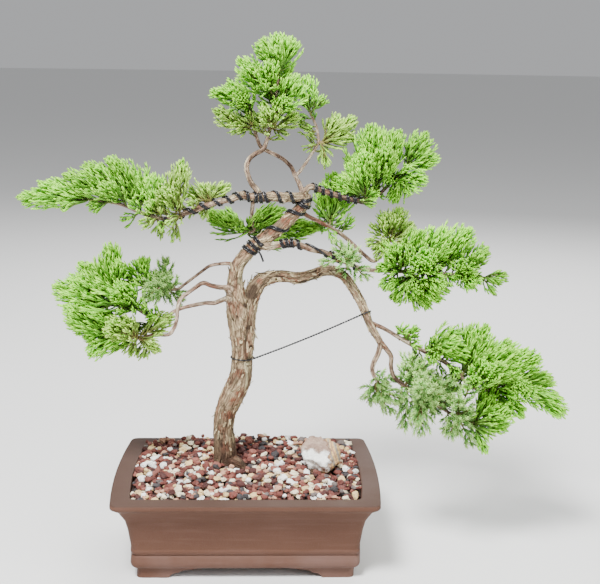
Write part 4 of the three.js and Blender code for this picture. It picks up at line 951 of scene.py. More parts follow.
def grit_with_painted_shade():
    recipe = Recipe("gravel_bed_painted_shade")
    grain = recipe.noise(recipe.place(), 380, 4, 0.7)
    # Near black: grit, and painted shade in the gaps between the pebbles.
    colour = recipe.ramp(grain, (0.35, (0.008, 0.006, 0.005)), (0.7, (0.05, 0.026, 0.02)))
    recipe.bump(grain, 1.2)
    return recipe.finish(colour, 0.95, 0.2)


def mixed_stones():
    recipe = Recipe("mixed_pebbles")
    kind = recipe.value("stone_kind")
    tone = recipe.value("stone_tone")
    place = recipe.place()
    base = recipe.ramp(
        kind, (0.0, (0.17, 0.052, 0.04)), (0.23, (0.085, 0.03, 0.026)), (0.37, (0.27, 0.10, 0.075)),
        (0.48, (0.055, 0.048, 0.05)), (0.55, (0.92, 0.80, 0.58)), (0.68, (0.74, 0.53, 0.26)),
        (0.78, (0.56, 0.31, 0.20)), (0.84, (0.16, 0.13, 0.12)), (0.89, (0.98, 0.97, 0.93)),
        interpolation="CONSTANT")
    pale = recipe.mix(0.35, base, (0.75,) * 3)
    dark = recipe.mix(0.65, base, (0.015,) * 3)
    mottled = recipe.mix(recipe.spread(recipe.noise(place, 260, 4), 0.35, 0.7), dark, base)
    colour = recipe.mix(recipe.spread(tone, 0, 1, 0.25, 1), mottled, base)
    colour = recipe.cover(colour, pale, recipe.noise(place, 520, 2), 0.6, 0.8, 0.35)
    pores = recipe.cells(place, 900)
    recipe.bump(recipe.sum(pores, recipe.noise(place, 500, 3)), 0.5, 0.8)
    return recipe.finish(colour, 0.88, 0.3)


class BONSAI_OT_gravel(bpy.types.Operator):
    """Spreads a bed and covers it with pebbles of several stones"""

    bl_idname = "bonsai.gravel"
    bl_label = "Gravel"

    def execute(self, context):
        settings = context.scene.bonsai_gravel
        rng = np.random.default_rng(settings.seed)
        keep(gravel_bed(), grit_with_painted_shade(), "gravel")
        keep(spread_pebbles(settings, rng), mixed_stones(), "gravel", "gravel")
        return {"FINISHED"}


def veined_stone(centre):
    recipe = Recipe("veined_rock")
    place = recipe.place()
    about = recipe.add("Mapping", 0, {
        "Vector": place, "Location": [-part * 30 for part in centre], "Scale": (30, 30, 30)})
    x, y, z = recipe.axes(about)
    cloud = recipe.noise(place, 60, 5, 0.65)
    grain = recipe.noise(place, 420, 4, 0.6)
    base = recipe.ramp(cloud, (0.3, (0.19, 0.12, 0.09)), (0.5, (0.38, 0.26, 0.20)), (0.7, (0.56, 0.43, 0.34)))
    shift = recipe.spread(cloud, 0.3, 0.7, -0.3, 0.3)
    left = recipe.sum(x, shift)
    low = recipe.sum(z, recipe.times(shift, -0.5))
    slant = recipe.add("Mapping", 0, {"Vector": about, "Rotation": (0, 0.5, 0), "Scale": (1, 0.4, 0.6)})
    layers = recipe.add("TexWave", "Fac", {"Vector": slant, "Scale": 1.5, "Distortion": 3.0, "Detail": 3.0})
    bands = recipe.ramp(
        layers, (0.0, (0.30, 0.25, 0.21)), (0.25, (0.54, 0.43, 0.30)), (0.5, (0.62, 0.36, 0.09)),
        (0.75, (0.72, 0.52, 0.24)), (1.0, (0.40, 0.20, 0.12)))
    colour = recipe.mix(recipe.spread(left, 0.22, 0.34), base, bands)
    rust = recipe.times(recipe.spread(low, -0.2, -0.45), recipe.spread(left, -0.3, 0.0))
    colour = recipe.mix(recipe.times(rust, 0.8), colour, (0.56, 0.26, 0.06))
    quartz = recipe.spread(left, 0.28, 0.18)
    for axis, start, end in ((low, 0.52, 0.42), (low, -0.3, -0.18), (y, -0.1, -0.3)):
        quartz = recipe.times(quartz, recipe.spread(axis, start, end))
    colour = recipe.cover(colour, (0.16, 0.11, 0.085), grain, 0.5, 0.72, 0.55)
    white = recipe.mix(recipe.spread(grain, 0.5, 0.8), (0.95, 0.95, 0.90), (0.6,) * 3)
    colour = recipe.mix(quartz, colour, white)
    vein = recipe.times(recipe.spread(left, 0.18, 0.26), recipe.spread(left, 0.38, 0.28))
    colour = recipe.mix(recipe.times(vein, 0.8), colour, (0.17, 0.09, 0.055))
    recipe.bump(recipe.sum(grain, recipe.noise(place, 150, 4)), 1.6)
    return recipe.finish(colour, 0.8, 0.35)


class BONSAI_OT_rock(bpy.types.Operator):
    """Shapes the worn stone that lies in the gravel"""

    bl_idname = "bonsai.rock"
    bl_label = "Rock"

    def execute(self, context):
        rng = np.random.default_rng(context.scene.bonsai_rock.seed)
        clear_selection()
        bpy.ops.mesh.primitive_ico_sphere_add(subdivisions=4, radius=1)
        rock = named("accent_rock")
        with editing(rock):
            for _ in range(ROCK_FACETS):
                way = unit(rng.normal(size=3))
                bpy.ops.mesh.select_all(action="SELECT")
                bpy.ops.mesh.bisect(
                    plane_co=way * rng.uniform(0.66, 0.82), plane_no=way, use_fill=True, clear_outer=True)
        finish_with(rock, "REMESH", mode="VOXEL", voxel_size=0.045)
        for size, strength, kind in ROCK_WEAR:
            wear(rock, kind, size, strength)
        centre = in_frame(ROCK_CENTRE)
        spans = np.ptp(corners_of(rock), axis=0)
        scale = [length * MM * 1.02 / span for length, span in zip(ROCK_SIZE, spans)]
        with editing(rock):
            bpy.ops.transform.resize(value=scale, center_override=(0, 0, 0))
            bpy.ops.transform.translate(value=centre)
        bpy.ops.object.shade_smooth()
        keep(rock, veined_stone(centre), "rock", "rock")
        return {"FINISHED"}


# Limbs


class Line:
    """A line of points in metres with its frames: the way it runs at each point and two directions
    across it, carried along without twist."""

    def __init__(self, points):
        self.points = points
        self.along = units(np.gradient(points, axis=0))
        self.across = np.empty_like(self.along)
        side = np.array([1.0, 0, 0]) if abs(self.along[0][1]) > 0.9 else np.array([0, 1.0, 0])
        for place, way in enumerate(self.along):
            side = self.across[place] = unit(square_to(side, way))
        self.beside = np.cross(self.along, self.across)
        gaps = np.linalg.norm(np.diff(points, axis=0), axis=1)
        self.lengths = np.concatenate([[0], np.cumsum(gaps)])
        self.length = self.lengths[-1]

    def read(self, rows, distance):
        """What a row for each point comes to at a distance, or at many, from the line's start."""
        return np.stack([np.interp(distance, self.lengths, rows[:, axis]) for axis in range(3)], axis=-1)

    def bend(self, shape, width):
        """A shape's corners, widened and bent along the line."""
        far = shape.corners[:, 2] / shape.length * self.length
        made = self.read(self.points, far)
        for rows, offset in ((self.across, shape.corners[:, 0]), (self.beside, shape.corners[:, 1])):
            made += self.read(rows, far) * offset[:, None] * width
        return made


class Limb(Line):
    """A limb's smooth middle line with its radii."""

    def __init__(self, name):
        knots = np.array([[*in_frame(row), row[3] * MM] for row in LIMBS[name]])
        padded = np.vstack([2 * knots[0] - knots[1], knots, 2 * knots[-1] - knots[-2]])
        samples = []
        for knot in range(1, len(knots)):
            a, b, c, d = padded[knot - 1:knot + 3]
            for step in range(LIMB_STEPS):
                t = step / LIMB_STEPS
                samples.append(0.5 * (
                    2 * b + (c - a) * t + (2 * a - 5 * b + 4 * c - d) * t ** 2
                    + (3 * b - a - 3 * c + d) * t ** 3))
        samples = np.array(samples + [knots[-1]])
        super().__init__(samples[:, :3])
        self.radii = samples[:, 3]
        self.last = len(knots) - 1

    def at(self, station):
        """The point, three directions and radius at a station along the limb."""
        place = clamp(station, 0, self.last) * LIMB_STEPS
        low = min(int(place), len(self.points) - 2)
        share = place - low
        rows = (self.points, self.along, self.across, self.beside, self.radii)
        return [row[low] * (1 - share) + row[low + 1] * share for row in rows]


def tube(name, points, radii, sides):
    """A round rod along a line of points, from a curve turned into a mesh."""
    clear_selection()
    bpy.ops.curve.primitive_nurbs_path_add()
    rod = named(name)
    curve = rod.data
    curve.splines.clear()
    spline = curve.splines.new("POLY")
    spline.points.add(len(points) - 1)
    spline.points.foreach_set("co", np.hstack([points, np.ones((len(points), 1))]).ravel())
    spline.points.foreach_set("radius", np.broadcast_to(radii, len(points)).astype(float))
    curve.dimensions = "3D"
    curve.bevel_depth = 1
    curve.bevel_resolution = max(sides // 2 - 2, 0)
    curve.use_fill_caps = True
    choose(rod)
    bpy.ops.object.convert(target="MESH")
    rod = bpy.context.object
    with editing(rod):
        bpy.ops.mesh.remove_doubles(threshold=1e-6)
        face_outwards()
    bpy.ops.object.shade_smooth()
    return rod


def limb_space(corners, limbs):
    """Each corner's place beside and along its own limb, as if the limb were straight, and the
    limb's radius there."""
    points, along, across, beside, radii = (
        np.concatenate([getattr(limb, part) for limb in limbs])
        for part in ("points", "along", "across", "beside", "radii"))
    starts = np.cumsum([0] + [limb.length + 0.05 for limb in limbs])
    lengths = np.concatenate([limb.lengths + start for limb, start in zip(limbs, starts)])
    tree = kdtree.KDTree(len(points))
    for place, point in enumerate(points):
        tree.insert(point, place)
    tree.balance()
    nearest = np.empty(len(corners), int)
    for number, corner in enumerate(corners):
        found = tree.find_n(corner, 5)
        nearest[number] = min(found, key=lambda hit: hit[2] - radii[hit[1]])[1]
    offset = corners - points[nearest]
    space = np.stack([np.einsum("ij,ij->i", offset, way[nearest]) for way in (across, beside, along)], axis=1)
    space[:, 2] += lengths[nearest]
    return space, radii[nearest]


def spotted(corners, spots):
    """How near each corner is to the middle of the nearest spot, from 0 outside them all to 1."""
    near = np.zeros(len(corners))
    for spot in spots:
        away = np.linalg.norm(corners - np.array(in_frame(spot)), axis=1)
        near = np.maximum(near, 1 - away / (spot[3] * MM))
    return near


def seam_between(corners, first, second):
    """How near each corner is to the crease where two limbs have grown together, from 0 to 1."""
    gaps = []
    for limb in (first, second):
        away = np.full(len(corners), np.inf)
        for point, radius in zip(limb.points, limb.radii):
            away = np.minimum(away, np.linalg.norm(corners - point, axis=1) - radius)
        gaps.append(away)
    close = np.maximum(*gaps) < SEAM_REACH * MM
    return np.where(close, np.clip(1 - np.abs(gaps[0] - gaps[1]) / (SEAM_WIDTH * MM), 0, 1), 0)


def bark_height(space):
    """The bark's relief and the share of each corner that has lately peeled, each from 0 to 1."""
    heights = np.empty(len(space))
    peeled = np.empty(len(space))
    for number, (x, y, z) in enumerate(space / MM):
        wave = 2.5 * ripple(x / 12, y / 12, z / 14)
        strip = 1 - abs(2 * ripple(x / 4.4 + wave, y / 4.4, z / 30, basis="PERLIN_NEW"))
        plate = ripple(x / 5 + 40, y / 5 + wave, z / 11)
        fibre = ripple(x / 1.5, y / 1.5 + 70, z / 5)
        flute = ripple(x / 9, y / 9, z / 60 + 30)
        step = clamp((plate - 0.02) * 9)
        heights[number] = 0.36 * strip ** 2 + 0.24 * step + 0.16 * fibre + 0.5 * flute
        peeled[number] = clamp(ripple(x / 9, y / 9 + 20, z / 30) * 4 - 0.9)
    return np.clip(0.45 + 0.8 * (heights - 0.3), 0, 1), peeled


def curled_flake(curl):
    """A thin flake one metre long that curls up towards its free end."""
    clear_selection()
    bpy.ops.mesh.primitive_grid_add(x_subdivisions=3, y_subdivisions=1, size=1, location=(0.5, 0, 0))
    flake = named("flake")
    bpy.ops.object.transform_apply(location=True, rotation=False, scale=False)
    for corner in flake.data.vertices:
        corner.co.y *= 1 - 0.45 * abs(2 * corner.co.x - 0.9)
        corner.co.z = 1.4 * curl * corner.co.x ** 2 - 0.02
    finish_with(flake, "SOLIDIFY", thickness=0.07, offset=0)
    return Shape(flake)


def raise_flakes(settings, limbs):
    """Copies a few curled flakes all over the old wood, each held by one end, and denser on the
    right arm."""
    rng = np.random.default_rng(settings.seed)
    shapes = [curled_flake(curl) for curl in FLAKE_CURLS]
    old = [
        (limb, station) for limb in limbs.values() for station in range(limb.last)
        if limb.at(station)[4] > OLD_RADIUS * MM]
    shares = []
    for limb, station in old:
        start, end = limb.at(station), limb.at(station + 1)
        width = start[4] if limb is limbs["right_arm"] else OTHER_FLAKES * MM
        shares.append(np.linalg.norm(start[0] - end[0]) * width)
    shares = np.array(shares)
    heap = Heap()
    for number in rng.choice(len(old), settings.flakes, p=shares / shares.sum()):
        limb, station = old[number]
        point, along, across, beside, radius = limb.at(station + rng.uniform())
        outward = swing(across, beside, rng.uniform(0, 2 * math.pi))
        foot = point + outward * (radius + FLAKE_GAP * MM)
        if spotted(foot[None, :], PAINTED_SHADE_HOLLOWS)[0] > 0:
            continue
        way = unit(along * rng.choice((-1, 1)) + np.cross(along, outward) * rng.uniform(-0.45, 0.45))
        turn = np.array([way, np.cross(outward, way), outward])
        size = rng.uniform(FLAKE_LOW, FLAKE_HIGH) * MM * clamp(radius / (8 * MM), 0.55)
        shape = shapes[rng.integers(len(shapes))]
        space = rng.uniform(0, 1, 3) + shape.corners[None] * 0.002
        heap.add(
            shape, foot + (shape.corners * size) @ turn,
            limb_space=space, bark_ridge=1, bark_peeled=0, limb_age=1)
    return heap.build("bark_flakes", smooth=False)


def flaking_bark(settings):
    recipe = Recipe("flaking_bark")
    ridge = recipe.value("bark_ridge")
    peeled = recipe.value("bark_peeled")
    age = recipe.value("limb_age")
    strip, strip_edge = recipe.plates(recipe.warp(recipe.place((210, 210, 26), "limb_space"), 0.9, 1.1))
    flake, flake_edge = recipe.plates(recipe.warp(recipe.place((540, 540, 105), "limb_space"), 0.8, 0.8))
    fibres = recipe.noise(recipe.place((1300, 1300, 75), "limb_space"), 1, 4, 0.65)
    patches = recipe.noise(recipe.place((80, 80, 24), "limb_space"), 1, 3)
    # How light the bark is coloured: its relief height, partly the bark's own pale ridges and dark cracks and
    # partly a painted highlight on the ridges and painted shade in the cracks, moved by grain and plates.
    light = ridge
    for part, low, high, change in (
            (fibres, 0.2, 0.8, 0.26), (strip, 0, 1, 0.2), (flake, 0, 1, 0.1), (patches, 0.32, 0.68, 0.16)):
        light = recipe.sum(light, recipe.spread(part, low, high, -change, change))
    old = recipe.ramp(
        light, (0.08, settings.crack), (0.28, (0.17, 0.105, 0.065)), (0.45, (0.34, 0.25, 0.155)),
        (0.62, settings.bark), (0.85, (0.78, 0.65, 0.40)))
    tint = recipe.ramp(
        strip, (0.0, (0.44, 0.33, 0.20)), (0.55, (0.44, 0.33, 0.20)), (0.7, (0.30, 0.14, 0.085)),
        (0.85, (0.33, 0.33, 0.20)), (1.0, (0.33, 0.33, 0.20)))
    old = recipe.mix(0.42, old, tint)
    young = recipe.ramp(
        light, (0.1, (0.10, 0.06, 0.045)), (0.35, (0.27, 0.175, 0.125)), (0.6, (0.45, 0.33, 0.24)),
        (0.9, (0.68, 0.58, 0.44)))
    bark = recipe.mix(recipe.spread(age, 0.42, 0.2), old, young)
    bare = recipe.times(peeled, recipe.spread(flake, 0.2, 0.8, 0.25, 0.95))
    bark = recipe.mix(bare, bark, settings.fresh_bark)
    height = recipe.axes(recipe.place())["Z"]
    # Darker towards the trunk's foot.
    low_darkening = recipe.times(recipe.spread(height, 0.152, 0.118), recipe.spread(strip, 0, 1, 0.7, 1.3))
    bark = recipe.mix(recipe.times(low_darkening, 0.85), bark, (0.09, 0.05, 0.034))
    seams = recipe.sum(
        recipe.spread(strip_edge, 0.1, 0.0), recipe.spread(flake_edge, 0.05, 0.0, 0, 0.6), "MAXIMUM")
    seams = recipe.times(seams, recipe.spread(age, 0.12, 0.4, 0.3, 0.85))
    bark = recipe.mix(seams, bark, settings.crack)
    # Painted shade: where the relief is low, in cracks and hollows, the bark runs to the crack colour.
    bark = recipe.cover(bark, settings.crack, ridge, 0.2, 0.02, 0.85)
    relief = recipe.sum(recipe.spread(strip_edge, 0.0, 0.2), recipe.spread(flake_edge, 0.0, 0.15, 0, 0.6))
    recipe.bump(recipe.sum(relief, recipe.times(fibres, 0.7)), 1.1)
    return recipe.finish(bark, 0.93, 0.12)


class BONSAI_OT_wood(bpy.types.Operator):
    """Fuses the trunk and its limbs, and raises their flaking bark"""

    bl_idname = "bonsai.wood"
    bl_label = "Trunk and branches"

    def execute(self, context):
        settings = context.scene.bonsai_wood
        limbs = {name: Limb(name) for name in LIMBS}
        wood = join_pieces([
            tube(f"rod_{name}", limb.points, limb.radii, 14 if limb.radii.max() > THICK * MM else 8)
            for name, limb in limbs.items()], "bark_wood")
        finish_with(wood, "REMESH", mode="VOXEL", voxel_size=settings.voxel)
        corners = corners_of(wood)
        space, radii = limb_space(corners, list(limbs.values()))
        heights, peeled = bark_height(space)
        # Hollows and the crease between the trunk and the right arm lose their relief, and so are painted in
        # shade.
        hollow = np.maximum(
            np.clip(2 * spotted(corners, PAINTED_SHADE_HOLLOWS), 0, 1),
            seam_between(corners, limbs["trunk"], limbs["right_arm"]))
        heights = heights * (1 - hollow)
        peeled = np.maximum(peeled, np.clip(2.5 * spotted(corners, WORN), 0, 1))
        thickness = np.clip(radii / (TRUNK_RADIUS * MM), 0.12, 1) ** 0.75
        group = wood.vertex_groups.new(name="bark_relief")
        for number, weight in enumerate(heights * thickness):
            group.add([number], float(weight), "REPLACE")
        finish_with(
            wood, "DISPLACE", direction="NORMAL", strength=settings.relief, mid_level=0.42,
            vertex_group="bark_relief")
        wood.vertex_groups.clear()
        set_attributes(
            wood.data, limb_space=space, bark_ridge=heights, bark_peeled=peeled,
            limb_age=np.clip(radii / (12 * MM), 0, 1))
        choose(wood)
        bpy.ops.object.shade_smooth()
        bark = flaking_bark(settings)
        keep(wood, bark, "bark", "trunk")
        keep(raise_flakes(settings, limbs), bark, "bark")
        return {"FINISHED"}


# Wires


def wire_metal(settings):
    recipe = Recipe("anodised_wire")
    worn = recipe.noise(recipe.place(), 260, 3)
    # The grey patches are worn coating and also a painted glint on the black wire.
    colour = recipe.cover(settings.coating, (0.5, 0.48, 0.48), worn, 0.62, 0.72, 0.7)
    return recipe.finish(colour, recipe.spread(worn, 0.3, 0.7, 0.2, 0.4), Metallic=0.3)


def wind(limb, radius, winding, turn_steps, aside):
    """A wire's middle line, wound close round a limb and moved along it by a distance aside."""
    points = []
    for (from_station, from_turns), (to_station, to_turns) in zip(winding, winding[1:]):
        count = max(int(round((to_turns - from_turns) * turn_steps)), 6)
        for step in range(1 if points else 0, count + 1):
            share = step / count
            station = from_station + (to_station - from_station) * share
            point, along, across, beside, limb_radius = limb.at(station)
            angle = (from_turns + (to_turns - from_turns) * share) * 2 * math.pi
            reach = limb_radius + radius + WIRE_GAP * MM
            points.append(point + swing(across, beside, angle) * reach + along * aside)
    return np.array(points)


class BONSAI_OT_training_wires(bpy.types.Operator):
    """Winds the training wires, each a pair of strands, round their limbs"""

    bl_idname = "bonsai.training_wires"
    bl_label = "Training wires"

    def execute(self, context):
        settings = context.scene.bonsai_wire
        metal = wire_metal(settings)
        for name, (limb_name, radius, winding) in WIRES.items():
            limb = Limb(limb_name)
            radius *= MM
            asides = [side * STRAND_SPREAD * radius for side in (-1, 1)]
            lines = [wind(limb, radius, winding, settings.steps, aside) for aside in asides]
            if name == "wire_trunk_top":
                lines.append(np.array([in_frame(point) for point in WIRE_END]))
            coil = join_pieces([tube("strand", line, radius, 8) for line in lines], f"{name}_coil")
            keep(coil, metal, "wire", name)
        return {"FINISHED"}


def tie_loop(limb, station, towards, count):
    """A nearly closed loop round a limb, from and to the side that faces a far point."""
    point, along, _, _, limb_radius = limb.at(station)
    facing = unit(square_to(towards - point, along))
    beside = np.cross(along, facing)
    angles = (np.arange(count) + 0.5) / count * 2 * math.pi
    reach = limb_radius + 2 * TIE_RADIUS * MM + TIE_GAP * MM
    return point + reach * (np.outer(np.cos(angles), facing) + np.outer(np.sin(angles), beside))


class BONSAI_OT_tie_wire(bpy.types.Operator):
    """Twists the thin wire that holds the right limb down to the trunk"""

    bl_idname = "bonsai.tie_wire"
    bl_label = "Tie wire"

    def execute(self, context):
        trunk, arm = Limb("trunk"), Limb("right_arm")
        trunk_point = trunk.at(TIE_TRUNK_STATION)[0]
        arm_point = arm.at(TIE_ARM_STATION)[0]
        trunk_loop = tie_loop(trunk, TIE_TRUNK_STATION, arm_point, 28)
        arm_loop = tie_loop(arm, TIE_ARM_STATION, trunk_point, 22)
        span = np.linspace(trunk_loop[-1], arm_loop[0], 220)
        span[:, 2] -= TIE_SAG * MM * np.sin(np.pi * np.linspace(0, 1, len(span)))
        middle = Line(np.concatenate([trunk_loop[:-1], span, arm_loop[1:]]))
        radius = TIE_RADIUS * MM
        strands = []
        for phase in (0, math.pi):
            angles = (middle.lengths / (TWIST_LENGTH * MM) * 2 * math.pi + phase)[:, None]
            outward = middle.across * np.cos(angles) + middle.beside * np.sin(angles)
            strands.append(tube("strand", middle.points + radius * 0.95 * outward, radius, 6))
        twist = join_pieces(strands, "tie_wire_twist")
        keep(twist, wire_metal(context.scene.bonsai_wire), "wire", "guy_wire")
        return {"FINISHED"}


# Foliage


def grow_stem(length, radius, joints, sides, tip_share=0.45):
    """A tapered stem up the Z axis, with every other joint thicker, closed at both ends."""
    clear_selection()
    bpy.ops.mesh.primitive_circle_add(vertices=sides, radius=radius, fill_type="NGON")
    stem = named("stem")
    parts = joints + LAST_JOINT
    rise = length / parts
    width = radius
    with editing(stem):
        for joint in range(1, joints + 1):
            bulge = 1.12 if joint % 2 else 0.86
            wanted = radius * (1 - (1 - tip_share) * (joint / parts)) * bulge
            extrude((0, 0, rise))
            bpy.ops.transform.resize(
                value=(wanted / width, wanted / width, 1), center_override=(0, 0, joint * rise))
            width = wanted
        extrude((0, 0, LAST_JOINT * length / parts))
        bpy.ops.mesh.merge(type="CENTER")
        face_outwards()
    return stem


def lean(piece, angle, turn, foot):
    """Leans an upright piece over by an angle, turns it about Z and stands it on a foot."""
    piece.data.transform(
        Matrix.Translation(foot) @ Matrix.Rotation(turn, 4, "Z") @ Matrix.Rotation(angle, 4, "Y"))


class Cord(Shape):
    """A modelled cord or leader up the Z axis, with its length and how far each corner has grown
    from the foot to the tips."""

    def __init__(self, stems, length):
        for stem, foot_growth in stems:
            corners = corners_of(stem)
            reach = np.linalg.norm(corners - corners[0], axis=1)
            growth = foot_growth + (1 - foot_growth) * reach / reach.max()
            set_attributes(stem.data, leaf_growth=growth)
        whole = join_pieces([stem for stem, _ in stems], "cord")
        self.growth = np.empty(len(whole.data.vertices), np.float32)
        whole.data.attributes["leaf_growth"].data.foreach_get("value", self.growth)
        self.length = length
        super().__init__(whole)


def scale_cord(rng, length, twigs, radius):
    """A cord of scale leaves with short side cords that lean forwards."""
    stems = [(grow_stem(length, radius, max(int(length / (JOINT_LENGTH * MM)), 2), 3, 0.7), 0.0)]
    shortest, longest = TWIG_LENGTH
    for number in range(twigs):
        share = 0.3 + 0.58 * (number + rng.uniform(0.1, 0.9)) / twigs
        twig_length = length * (1.02 - share) * rng.uniform(0.6, 0.95)
        twig = grow_stem(clamp(twig_length, shortest * MM, longest * MM), radius * 0.85, 1, 3, 0.85)
        turn = number * math.pi + rng.uniform(-0.9, 0.9)
        lean(twig, rng.uniform(0.28, 0.42), turn, (0, 0, share * length))
        stems.append((twig, share * 0.8))
    return Cord(stems, length)


def needle_cord(rng, length, whorls, radius):
    """A thin stem with whorls of three short needles."""
    stems = [(grow_stem(length, radius * 0.62, max(whorls // 2, 2), 3), 0.0)]
    for whorl in range(whorls):
        share = 0.1 + 0.88 * (whorl + 0.5) / whorls
        for side in range(3):
            needle_length = rng.uniform(*NEEDLE_LENGTH) * MM * (1.05 - 0.35 * share)
            needle = grow_stem(needle_length, radius * 0.74, 0, 3)
            turn = side * 2 * math.pi / 3 + whorl * 1.05 + rng.uniform(-0.25, 0.25)
            lean(needle, rng.uniform(0.6, 1.0) - 0.3 * share, turn, (0, 0, share * length))
            stems.append((needle, share * 0.8))
    return Cord(stems, length)


class Spray:
    """The cords and stems of one spray. Rows of a cord are its foot, bend, tip, roll, tone, kind and
    how far it has grown at its foot."""

    def __init__(self):
        self.cords, self.stems = {}, []

    def build(self, name):
        heap = Heap()
        for shape, rows in self.cords.items():
            roots, bends, tips, rolls, tones, kinds, starts = (np.array(part)[:, None] for part in zip(*rows))
            share = np.clip(shape.corners[:, 2] / shape.length, 0, None)[None, :, None]
            reach = np.minimum(share, 1)
            along = 2 * (1 - reach) * (bends - roots) + 2 * reach * (tips - bends)
            line = quadratic(roots, bends, tips, reach) + (share - reach) * along
            side = np.cross(bends - roots, tips - roots)
            plain = np.cross(tips - roots, np.array([0.3, 0.5, 0.8]))
            straight = np.linalg.norm(side, axis=2, keepdims=True) < 1e-9
            side = units(np.where(straight, plain, side))
            beside = np.cross(units(along), side)
            width = np.sqrt(np.clip(np.linalg.norm(tips - roots, axis=2) / shape.length, 0.6, 1.25))
            across, over = shape.corners[None, :, 0], shape.corners[None, :, 1]
            x = across * np.cos(rolls) - over * np.sin(rolls)
            y = across * np.sin(rolls) + over * np.cos(rolls)
            made = line + side * (x * width)[:, :, None] + beside * (y * width)[:, :, None]
            growth = starts + (1 - starts) * shape.growth[None, :]
            heap.add(shape, made, leaf_growth=growth, leaf_tone=tones, leaf_kind=kinds)
        for shape, made, tone, kind in self.stems:
            heap.add(shape, made, leaf_growth=shape.growth * 0.6 - 0.35, leaf_tone=tone, leaf_kind=kind)
        return heap.build(name)


def cord_length(distance, angle, length, half_width):
    """The length of a cord that ends on a plume's egg-shaped outline."""
    half_length = 0.46 * length
    place = (distance - (length - half_length)) / half_length
    ahead = math.cos(angle) / half_length
    aside = math.sin(angle) / half_width
    square = ahead ** 2 + aside ** 2
    inner = (place * ahead) ** 2 - square * (place ** 2 - 1)
    return (math.sqrt(inner) - place * ahead) / square if inner >= 0 else 0.0


def leader_line(seat, outward, tip):
    """A leader's line from its limb: square out at first, then bending over to its tip."""
    length = np.linalg.norm(tip - seat)
    ahead = (tip - seat) / length
    share = steps(15)
    first = seat + outward * 0.3 * length
    second = tip - ahead * 0.35 * length
    return Line(
        (1 - share) ** 3 * seat + 3 * share * (1 - share) ** 2 * first
        + 3 * share ** 2 * (1 - share) * second + share ** 3 * tip)


def side_lines(rng, stem, count, half_width, span, angles, shortest, drift):
    """Lines that leave a stem, curve forwards to the plume's outline and are pulled along by a drift,
    each as its foot, bend and tip, and its share of the way along the stem."""
    phase = rng.uniform(0, 2 * math.pi)
    for number in range(count):
        share = span[0] + (span[1] - span[0]) * (number + rng.uniform(0.1, 0.9)) / count
        distance = share * stem.length
        root, way, side, other = (
            stem.read(rows, distance) for rows in (stem.points, stem.along, stem.across, stem.beside))
        way = unit(way)
        outward = swing(side, other, phase + number * GOLDEN_TURN) + np.array([0, 0, LIFT])
        outward = unit(square_to(outward, way))
        angle = math.radians(angles[0] + (angles[1] - angles[0]) * share) * rng.uniform(0.8, 1.2)
        ahead = unit(swing(way, outward, angle) + drift)
        outward = square_to(ahead, way)
        angle = math.atan2(np.linalg.norm(outward), ahead.dot(way))
        outward = unit(outward)
        reach = cord_length(distance, angle, stem.length, half_width) * rng.uniform(0.72, 1.06)
        if reach >= shortest:
            bend = root + swing(way, outward, angle + BEND_AHEAD) * 0.5 * reach
            tip = root + swing(way, outward, angle) * reach
            yield root, bend, tip, share


def side_stem(root, bend, tip):
    return Line(quadratic(root, bend, tip, steps(8)))


def juniper_leaves(settings):
    recipe = Recipe("juniper_leaves")
    growth = recipe.value("leaf_growth")
    tone = recipe.value("leaf_tone")
    kind = recipe.value("leaf_kind")
    place = recipe.place()
    bark = (0.20, 0.12, 0.07)
    # Along each cord the ramps run from brown woody feet through dark stops low down, painted shade deep
    # inside the spray, to the lighter growing tips.
    fresh = recipe.ramp(
        growth, (0.0, bark), (0.1, (0.05, 0.085, 0.014)), (0.35, settings.green),
        (0.68, (0.19, 0.57, 0.03)), (0.9, (0.39, 0.91, 0.06)), (1.0, settings.tip_green))
    olive = recipe.ramp(
        growth, (0.0, bark), (0.15, (0.24, 0.17, 0.06)), (0.45, (0.20, 0.30, 0.06)),
        (0.8, (0.36, 0.62, 0.09)), (1.0, (0.66, 0.92, 0.20)))
    needle = recipe.ramp(
        growth, (0.0, bark), (0.2, (0.20, 0.13, 0.05)), (0.45, (0.08, 0.20, 0.035)),
        (0.75, settings.needle_green), (1.0, (0.70, 0.98, 0.33)))
    colour = recipe.mix(recipe.spread(kind, FRESH, OLIVE), fresh, olive)
    colour = recipe.mix(recipe.spread(kind, OLIVE, NEEDLE), colour, needle)
    # Darker with the tone, which varies at random and is painted shade on the sprays listed as in shade.
    colour = recipe.cover(colour, (0.04, 0.10, 0.012), tone, 0.25, 1, 0.5)
    scales = recipe.noise(place, 1300, 2)
    colour = recipe.cover(colour, (0.45, 0.78, 0.12), scales, 0.4, 0.7, 0.15)
    recipe.bump(scales, 0.4, 0.6)
    return recipe.finish(colour, 0.6, 0.15)


